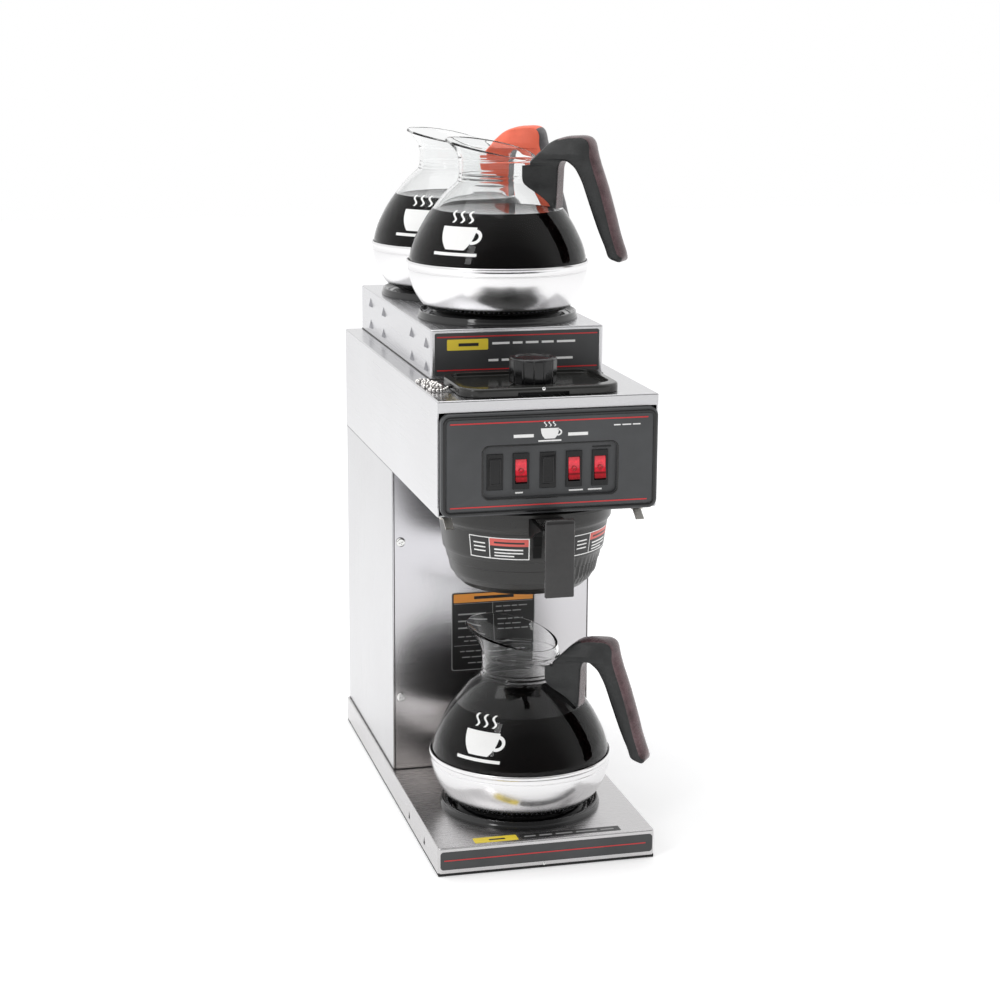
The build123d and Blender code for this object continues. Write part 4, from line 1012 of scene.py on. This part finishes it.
# painted shadow: a near-black patch on the bowl wall left of the strap for the shaded recess, with thin strap-coloured
# bars along its edge and across it
fs = on_funnel(-99.0)
bm = bmesh.new()
for k in range(24):
    za, zb = 284.6 + 37.4 * k / 24, 284.6 + 37.4 * (k + 1) / 24
    bar(bm, 0.0, 8.6, za, zb, fs, 0.25, 6)
new_obj("funnel_slot_shadow", bm, "ink_shadow", "funnel", smooth=False)
bm = bmesh.new()
bar(bm, 0.0, 0.9, 284.6, 305.2, lambda u, v, t: fs(u, v, t + 0.3), 0.5, 1)
bar(bm, 0.0, 8.6, 295.2, 296.2, lambda u, v, t: fs(u, v, t + 0.3), 0.5, 3)
new_obj("funnel_slot_edge", bm, "strap", "funnel", smooth=False)

# ---------------------------------------------------------------- front panel print and switches
F = 0.446
bm = bmesh.new()
for x0, x1, z0_, z1_ in ((-89.8, 88.4, 410.9, 412.0), (-89.8, 88.4, 337.2, 338.3)):
    prism(bm, rect(x0 * MM, x1 * MM, z0_ * MM, z1_ * MM), on_front(F), 0.00002, 0.00012)
new_obj("panel_lines", bm, "red_line", "chassis", smooth=False)
bm = bmesh.new()
pf = lambda u, v, t: at(u * MM, F + 0.00002 + t * MM, v * MM)
cup_mark(bm, pf, 0.1, -1.0, 401.0, 23.0)
bar(bm, -33.5, -15.5, 397.6, 400.4, pf, 0.1, 2)
bar(bm, 15.5, 33.5, 397.6, 400.4, pf, 0.1, 2)
dashes(bm, pf, 0.1, 57.0, 86.0, 404.6, 406.4, 11, 3)
new_obj("panel_mark", bm, "ink_print", "chassis", smooth=False)
pk = lambda u, v, t: at(u * MM, 0.44302 + t * MM, v * MM)
bm = bmesh.new()
dashes(bm, pk, 0.08, -31.0, -19.5, 347.2, 349.4, 5, 21)
dashes(bm, pk, 0.08, 17.6, 32.0, 347.2, 349.4, 5, 22)
dashes(bm, pk, 0.08, 35.0, 53.0, 347.2, 349.4, 7, 23)
new_obj("pocket_captions", bm, "ink_print", "chassis", smooth=False)
# short raised bar above the last switch, black as painted shadow of the dark line there
bm = bmesh.new()
prism(bm, rrect(0.0385, 0.0555, 0.3856, 0.3868, 0.0004), on_front(0.443), 0.00002, 0.0006)
new_obj("panel_shadow_line", bm, "switch", "chassis", angle=40)
# moulded frame raised round the panel's groove, and a lip round the pocket
for nm, w_, h_, r_, dd, band, zc in (("panel_frame", 0.1925, 0.0871, 0.0068, 0.4459, 0.0026, (0.3294 + 0.42) / 2), ("pocket_lip", 0.1238, 0.0488, 0.0068, 0.4459, 0.0016, SWITCH_Z)):
    bm = bmesh.new()
    outer = rounded(w_, h_, r_, 8)
    inner = rounded(w_ - 2 * band, h_ - 2 * band, r_ - band, 8)
    n_ = len(outer)
    rowsx = []
    for i in range(n_):
        (ox, oz), (ix, iz) = outer[i], inner[i]
        mx_, mz_ = (ox + ix) / 2, (oz + iz) / 2
        rowsx.append([bm.verts.new(at(u, dd + t, zc + v)) for u, v, t in (
            (ox, oz, 0.0), (ox * 0.85 + mx_ * 0.15, oz * 0.85 + mz_ * 0.15, 0.00035), (mx_, mz_, 0.0005),
            (ix * 0.85 + mx_ * 0.15, iz * 0.85 + mz_ * 0.15, 0.00035), (ix, iz, 0.0))])
    for i in range(n_):
        A, B = rowsx[i], rowsx[(i + 1) % n_]
        for k in range(4):
            bm.faces.new((A[k], A[k + 1], B[k + 1], B[k]))
        bm.faces.new((A[4], A[0], B[0], B[4]))
    new_obj(nm, bm, "gloss_edge", "chassis", angle=60)
# raised rectangle on each blanking plug
bm = bmesh.new()
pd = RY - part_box("switch_blank_plugs")[0].y
for x in (-0.0494, -0.0018):
    outer = [(u + x, v + SWITCH_Z) for u, v in rounded(0.0096, 0.0218, 0.0010, 3)]
    inner = [(u + x, v + SWITCH_Z) for u, v in rounded(0.0084, 0.0206, 0.0006, 3)]
    n_ = len(outer)
    A = [bm.verts.new(at(u, pd - 0.0001, v)) for u, v in outer]
    B = [bm.verts.new(at(u, pd + 0.0004, v)) for u, v in outer]
    C = [bm.verts.new(at(u, pd + 0.0004, v)) for u, v in inner]
    D = [bm.verts.new(at(u, pd - 0.0001, v)) for u, v in inner]
    for k in range(n_):
        q = (k + 1) % n_
        for P0, P1 in ((A, B), (B, C), (C, D), (D, A)):
            bm.faces.new((P0[k], P0[q], P1[q], P1[k]))
o = new_obj("blank_faces", bm, "gloss_edge", "chassis", angle=40)
bevel(o, 0.00012, 2)

# ---------------------------------------------------------------- base, box and trunk print
bm = bmesh.new()
prism(bm, rect(-0.0960, 0.0930, 0.0146, 0.0156), on_front(0.4504), 0.00001, 0.00008)
new_obj("base_line", bm, "red_line", "chassis", smooth=False)
zt = DECK_LOW + 0.00003
bm = bmesh.new()
prism(bm, rrect(-0.0660, -0.0255, 0.4325, 0.4446, 0.001), on_top(zt), 0, 0.0001)
new_obj("base_sticker", bm, "ink_yellow", "chassis", smooth=False)
bm = bmesh.new()
prism(bm, rect(-0.0220, 0.0715, 0.4332, 0.4440), on_top(zt), 0, 0.0001)
new_obj("base_strip", bm, "ink_black", "chassis", smooth=False)
bm = bmesh.new()
pb = lambda u, v, t: at(u * MM, v * MM, zt + (0.1 + t) * MM)
dashes(bm, pb, 0.06, -19.0, 68.0, 441.0, 437.0, 26, 31)
new_obj("base_strip_print", bm, "ink_grey", "chassis", smooth=False)
bm = bmesh.new()
dashes(bm, pb, 0.06, -52.0, -28.5, 441.6, 436.4, 7, 32)
new_obj("base_sticker_print", bm, "ink_black", "chassis", smooth=False)

BX = 0.3314
bm = bmesh.new()
for z0_, z1_ in ((469.0, 470.0), (438.6, 439.6)):
    prism(bm, rect(-0.0755, 0.0755, z0_ * MM, z1_ * MM), on_front(BX), 0.00001, 0.0001)
new_obj("box_lines", bm, "red_line", "chassis", smooth=False)
bm = bmesh.new()
prism(bm, rrect(-0.0662, -0.0279, 0.4572, 0.4672, 0.001), on_front(BX), 0.00001, 0.0001)
new_obj("box_sticker", bm, "ink_yellow", "chassis", smooth=False)
bm = bmesh.new()
px = lambda u, v, t: at(u * MM, BX + (0.1 + t) * MM, v * MM)
dashes(bm, px, 0.06, -55.5, -30.0, 459.8, 464.6, 7, 41)
new_obj("box_sticker_print", bm, "ink_black", "chassis", smooth=False)
bm = bmesh.new()
px = lambda u, v, t: at(u * MM, BX + (0.01 + t) * MM, v * MM)
dashes(bm, px, 0.08, -24.0, 61.0, 461.0, 464.4, 27, 42)
dashes(bm, px, 0.08, -27.5, 62.0, 445.6, 449.0, 29, 43)
new_obj("box_print", bm, "ink_print", "chassis", smooth=False)

TX = 0.2400
sheet_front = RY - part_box("splash_panel")[0].y
bm = bmesh.new()
prism(bm, rrect(-0.0405, 0.0435, 0.1245, 0.2040, 0.0025), on_front(sheet_front), 0.00001, 0.0001)
new_obj("trunk_label_edge", bm, "ink_grey", "chassis", smooth=False)
bm = bmesh.new()
prism(bm, rrect(-0.0398, 0.0428, 0.1252, 0.2033, 0.002), on_front(sheet_front), 0.0001, 0.00018)
new_obj("trunk_label_field", bm, "ink_black", "chassis", smooth=False)
bm = bmesh.new()
prism(bm, rrect(-0.0385, 0.0415, 0.1935, 0.2022, 0.0008), on_front(sheet_front), 0.00018, 0.00026)
new_obj("trunk_label_header", bm, "ink_orange", "chassis", smooth=False)
pt = lambda u, v, t: at(u * MM, sheet_front + (0.18 + t) * MM, v * MM)
bm = bmesh.new()
bar(bm, -18.0, 22.0, 196.4, 199.4, lambda u, v, t: pt(u, v, t + 0.08), 0.06, 1)
new_obj("trunk_label_mark", bm, "ink_black", "chassis", smooth=False)
bm = bmesh.new()
bar(bm, -38.0, 41.0, 192.2, 192.6, pt, 0.06, 1)
bar(bm, 0.6, 1.0, 150.0, 192.2, pt, 0.06, 1)
bar(bm, -38.0, 41.0, 149.6, 150.0, pt, 0.06, 1)
bar(bm, -34.0, -6.0, 181.0, 182.4, pt, 0.06, 1)
bar(bm, -34.0, -6.0, 174.0, 175.4, pt, 0.06, 1)
bar(bm, -34.0, -14.0, 167.0, 168.4, pt, 0.06, 1)
for i, (u0, u1, v) in enumerate(((4, 38, 187), (4, 30, 182), (5, 36, 174), (5, 33, 169), (5, 37, 164), (-34, -6, 158), (-28, -10, 153.5), (-32, 34, 143), (-30, 26, 137), (-24, 20, 131))):
    dashes(bm, pt, 0.06, u0, u1, v, v + 1.6, max(4, int((u1 - u0) / 2.6)), 60 + i)
new_obj("trunk_label_print", bm, "ink_grey", "chassis", smooth=False)

# ---------------------------------------------------------------- sheet seams and louvres
bm = bmesh.new()
tw = 0.0990
sf = sheet_front
# painted shade in the joints: dark strips between the trunk cover and the front sheet, both sides, and along the base
box_bm(-tw + 0.0012, -tw + 0.0021, sf - 0.0004, sf + 0.00015, 0.0275, 0.3285, bm)
box_bm(tw - 0.0021, tw - 0.0012, sf - 0.0004, sf + 0.00015, 0.0275, 0.3285, bm)
box_bm(-tw + 0.0005, tw - 0.0005, sf - 0.0004, sf + 0.0007, DECK_LOW + 0.0000, DECK_LOW + 0.0009, bm)
box_bm(-tw - 0.0003, -tw + 0.0003, 0.004, sf, DECK_LOW + 0.0000, DECK_LOW + 0.0008, bm)
box_bm(tw - 0.0003, tw + 0.0003, 0.004, sf, DECK_LOW + 0.0000, DECK_LOW + 0.0008, bm)
box_bm(-tw - 0.0004, -tw + 0.0002, 0.004, 0.2385, 0.3283, 0.3290, bm)
box_bm(tw - 0.0002, tw + 0.0004, 0.004, 0.2385, 0.3283, 0.3290, bm)
# painted shade along the foot of the warmer box on the hood
bxw = 0.0815
box_bm(-bxw - 0.0004, -bxw + 0.0002, 0.002, 0.3314, HOOD_TOP, HOOD_TOP + 0.0009, bm)
box_bm(bxw - 0.0002, bxw + 0.0004, 0.002, 0.3314, HOOD_TOP, HOOD_TOP + 0.0009, bm)
box_bm(-bxw, bxw, 0.3306, 0.3316, HOOD_TOP, HOOD_TOP + 0.0008, bm)
new_obj("sheet_joint_shade", bm, "seam", "chassis", smooth=False)

# raised louvres on the box sides, in darker steel as painted shade of their openings
bm = bmesh.new()
for sgn in (-1, 1):
    for ld, lz in LOUVRES:
        x_ = sgn * (0.0815 + 0.00005)
        w2 = 0.0088
        A = at(x_, (ld * MM) - w2, lz * MM + 0.0022)
        B = at(x_, (ld * MM) + w2, lz * MM + 0.0022)
        C = at(x_, (ld * MM), lz * MM + 0.0112)
        P_ = at(x_ + sgn * 0.0026, (ld * MM) + 0.0030, lz * MM + 0.0034)
        vs = [bm.verts.new(v) for v in (A, B, C, P_)]
        bm.faces.new((vs[0], vs[2], vs[3]))
        bm.faces.new((vs[0], vs[3], vs[1]))
        bm.faces.new((vs[0], vs[1], vs[2]))
        bm.faces.new((vs[1], vs[3], vs[2]))
o = new_obj("box_louvres", bm, "louvre", "chassis", smooth=False)

# ---------------------------------------------------------------- bead chain of the lid
rnd = random.Random(4)
way = [(-76.5, 386, 434.6), (-79.5, 389, 433.4), (-83, 393, 432.7), (-88, 396, 432.7), (-93, 394, 432.7), (-95, 388, 432.7), (-91, 384, 432.7),
       (-86, 385, 432.7), (-82.5, 381, 432.7), (-85, 376, 432.7), (-91, 377, 432.9), (-96, 374, 432.7), (-95, 368, 432.7), (-89, 366, 432.7),
       (-84, 369, 434.6), (-87, 374, 435.6), (-92, 381, 435.7), (-90, 388, 435.6), (-85, 390, 435.4), (-87, 382, 435.9), (-93, 370, 435.4),
       (-96, 363, 433.0), (-92, 358, 432.7), (-86, 357, 432.7), (-84, 351, 432.7), (-89, 347, 432.7), (-94, 350, 432.9), (-97, 344, 432.7), (-92, 339, 432.7), (-85, 342, 432.7)]
path = catmull([tuple(v) for v in way], 24)
beads = [path[0]]
for q in path:
    if math.dist(q, beads[-1]) >= 3.35:
        beads.append(q)
bm = bmesh.new()
bl = bmesh.new()
for i, (x, d, z) in enumerate(beads):
    c = at(x * MM, d * MM, z * MM)
    bmesh.ops.create_icosphere(bm, subdivisions=3, radius=0.00155, matrix=Matrix.Translation(c))
    if i + 1 < len(beads):
        c2 = at(beads[i + 1][0] * MM, beads[i + 1][1] * MM, beads[i + 1][2] * MM)
        mid = (c + c2) / 2
        q = (c2 - c).to_track_quat("Z", "Y").to_matrix().to_4x4()
        bmesh.ops.create_cone(bl, segments=10, radius1=0.0009, radius2=0.0009, depth=(c2 - c).length, matrix=Matrix.Translation(mid) @ q)
new_obj("lid_bead_chain", bm, "chain", "chassis", ("lid_chain",), angle=60)
# painted shade: near-black links between the beads, for the dark gaps in the chain
new_obj("lid_chain_links_shade", bl, "seam", "chassis", angle=60)
# eye and swivel that ties the chain to the lid
bm = bmesh.new()
bmesh.ops.create_icosphere(bm, subdivisions=3, radius=0.0026, matrix=Matrix.Translation(at(-0.0772, 0.3862, 0.4346)) @ Matrix.Diagonal((1.25, 0.9, 0.8, 1)))
ring_pts = [at(-0.0758 + 0.0030 * cos(2 * pi * k / 24), 0.3861 + 0.0030 * sin(2 * pi * k / 24), 0.4352) for k in range(24)]
tube = []
for k, c in enumerate(ring_pts):
    rad = Vector((cos(2 * pi * k / 24), -sin(2 * pi * k / 24), 0))
    tube.append([bm.verts.new(c + (rad * cos(2 * pi * j / 8) + Vector((0, 0, 1)) * sin(2 * pi * j / 8)) * 0.0008) for j in range(8)])
for k in range(24):
    A, B = tube[k], tube[(k + 1) % 24]
    for j in range(8):
        bm.faces.new((A[j], A[(j + 1) % 8], B[(j + 1) % 8], B[j]))
new_obj("lid_chain_swivel", bm, "knob", "lid", angle=60)

# round marks on the rockers
for which, x in SWITCHES.items():
    lo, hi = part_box(f"rocker_{which}")
    bm = bmesh.new()
    cz = SWITCH_Z + 0.0006
    ys = lo.y
    n_ = 20
    rr0, rr1 = 0.0017, 0.0023
    A = [bm.verts.new((MX + x + rr0 * cos(2 * pi * k / n_), ys + 0.0012, cz + rr0 * sin(2 * pi * k / n_))) for k in range(n_)]
    B = [bm.verts.new((MX + x + rr1 * cos(2 * pi * k / n_), ys + 0.0012, cz + rr1 * sin(2 * pi * k / n_))) for k in range(n_)]
    C = [bm.verts.new((MX + x + rr1 * cos(2 * pi * k / n_), ys + 0.0030, cz + rr1 * sin(2 * pi * k / n_))) for k in range(n_)]
    D = [bm.verts.new((MX + x + rr0 * cos(2 * pi * k / n_), ys + 0.0030, cz + rr0 * sin(2 * pi * k / n_))) for k in range(n_)]
    for P0, P1 in ((A, B), (B, C), (C, D), (D, A)):
        for k in range(n_):
            bm.faces.new((P0[k], P0[(k + 1) % n_], P1[(k + 1) % n_], P1[k]))
    new_obj(f"rocker_mark_{which}", bm, "ink_dark_red", f"rocker_{which}", angle=50)


# ---------------------------------------------------------------- knob
kc = at(-0.0032, 0.396, 0)
KNOB = [(0, 440.8, 0), (17.3, 440.8, 0), (17.6, 437.9, 0), (20.6, 437.7, 0.3), (21.3, 438.3, 0.8), (21.6, 440.0, 1), (21.75, 456.2, 1), (21.6, 457.8, 0.75), (21.0, 459.0, 0.4), (20.0, 459.7, 0.1),
        (18.6, 459.95, 0), (16.6, 459.95, 0), (15.9, 459.6, 0), (15.4, 459.0, 0), (9.0, 458.8, 0), (0, 458.8, 0)]
bm = bmesh.new()
ks = 14 * 24
prev = None
for r, z, fac in KNOB:
    if r == 0:
        ring = [bm.verts.new((kc.x, kc.y, z * MM))]
    else:
        ring = []
        for j in range(ks):
            a = 2 * pi * j / ks
            w = (a % (2 * pi / 14)) - pi / 14
            k = cos(pi / 14) / cos(w) - 0.045 * math.exp(-((pi / 14 - abs(w)) / 0.030) ** 2)
            rr = r * (1 - fac + fac * min(1.0, k))
            ring.append(bm.verts.new((kc.x + rr * MM * cos(a), kc.y + rr * MM * sin(a), z * MM)))
    if prev:
        for j in range(ks):
            k = (j + 1) % ks
            if len(prev) == 1:
                bm.faces.new((prev[0], ring[j], ring[k]))
            elif len(ring) == 1:
                bm.faces.new((prev[j], prev[k], ring[0]))
            else:
                bm.faces.new((prev[j], prev[k], ring[k], ring[j]))
    prev = ring
new_obj("knob_faceted", bm, "knob", "lid", ("lid_knob",), angle=17)

# small screw under the base's front edge
bm = bmesh.new()
bmesh.ops.create_icosphere(bm, subdivisions=3, radius=0.0016, matrix=Matrix.Translation(at(-0.0030, 0.4500, 0.0040)) @ Matrix.Diagonal((1, 0.6, 1, 1)))
new_obj("base_front_screw", bm, "screw", "chassis", angle=60)

# rivet on the lid's front edge
bm = bmesh.new()
bmesh.ops.create_icosphere(bm, subdivisions=3, radius=0.0017, matrix=Matrix.Translation(at(-0.0030, 0.4326, 0.4372)) @ Matrix.Diagonal((1, 0.45, 1, 1)))
new_obj("lid_rivet", bm, "screw", "lid", angle=60)


# ---------------------------------------------------------------- eased edges on moulded and pressed parts
def refine(node_name, mat, body, width, segments=2, angle=32):
    bm = bmesh.new()
    bm.from_mesh(frame["nodes"][node_name].data)
    bmesh.ops.remove_doubles(bm, verts=bm.verts[:], dist=1e-6)
    bmesh.ops.dissolve_limit(bm, angle_limit=radians(0.6), verts=bm.verts[:], edges=bm.edges[:])
    o = new_obj(node_name + "_eased", bm, mat, body, (node_name,), angle=angle)
    mod = bevel(o, width, segments, 40).modifiers["edges"]
    mod.use_clamp_overlap = True
    return o


refine("front_panel", "panel", "chassis", 0.0006, 3)
refine("pour_lid", "lid", "lid", 0.0006, 3)
refine("switch_blank_plugs", "switch", "chassis", 0.0003, 2)
for which in SWITCHES:
    refine(f"switch_housing_{which}", "switch", "chassis", 0.00010, 2)
    refine(f"rocker_{which}", "rocker", f"rocker_{which}", 0.00025, 3)

# painted shadow all round under the base: a dark strip in the foot rubber material, standing in for the shadowed gap
# between base and floor
lo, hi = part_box("base_shell")
bm = bmesh.new()


def slab(x0, x1, y0, y1, z0, z1):
    vs = [bm.verts.new((x, y, z)) for x in (x0, x1) for y in (y0, y1) for z in (z0, z1)]
    for f in ((0, 1, 3, 2), (4, 6, 7, 5), (0, 4, 5, 1), (2, 3, 7, 6), (0, 2, 6, 4), (1, 5, 7, 3)):
        bm.faces.new([vs[i] for i in f])


e0, e1 = 0.0004, 0.0030
z0_, z1_ = 0.0003, lo.z + 0.0006
slab(lo.x + e0, lo.x + e1, lo.y + e0, hi.y - e0, z0_, z1_)
slab(hi.x - e1, hi.x - e0, lo.y + e0, hi.y - e0, z0_, z1_)
slab(lo.x + e1, hi.x - e1, lo.y + e0, lo.y + e1, z0_, z1_)
slab(lo.x + e1, hi.x - e1, hi.y - e1, hi.y - e0, z0_, z1_)
o = new_obj("base_gap_shadow", bm, "rubber", "chassis", angle=40)
bevel(o, 0.0003, 2)
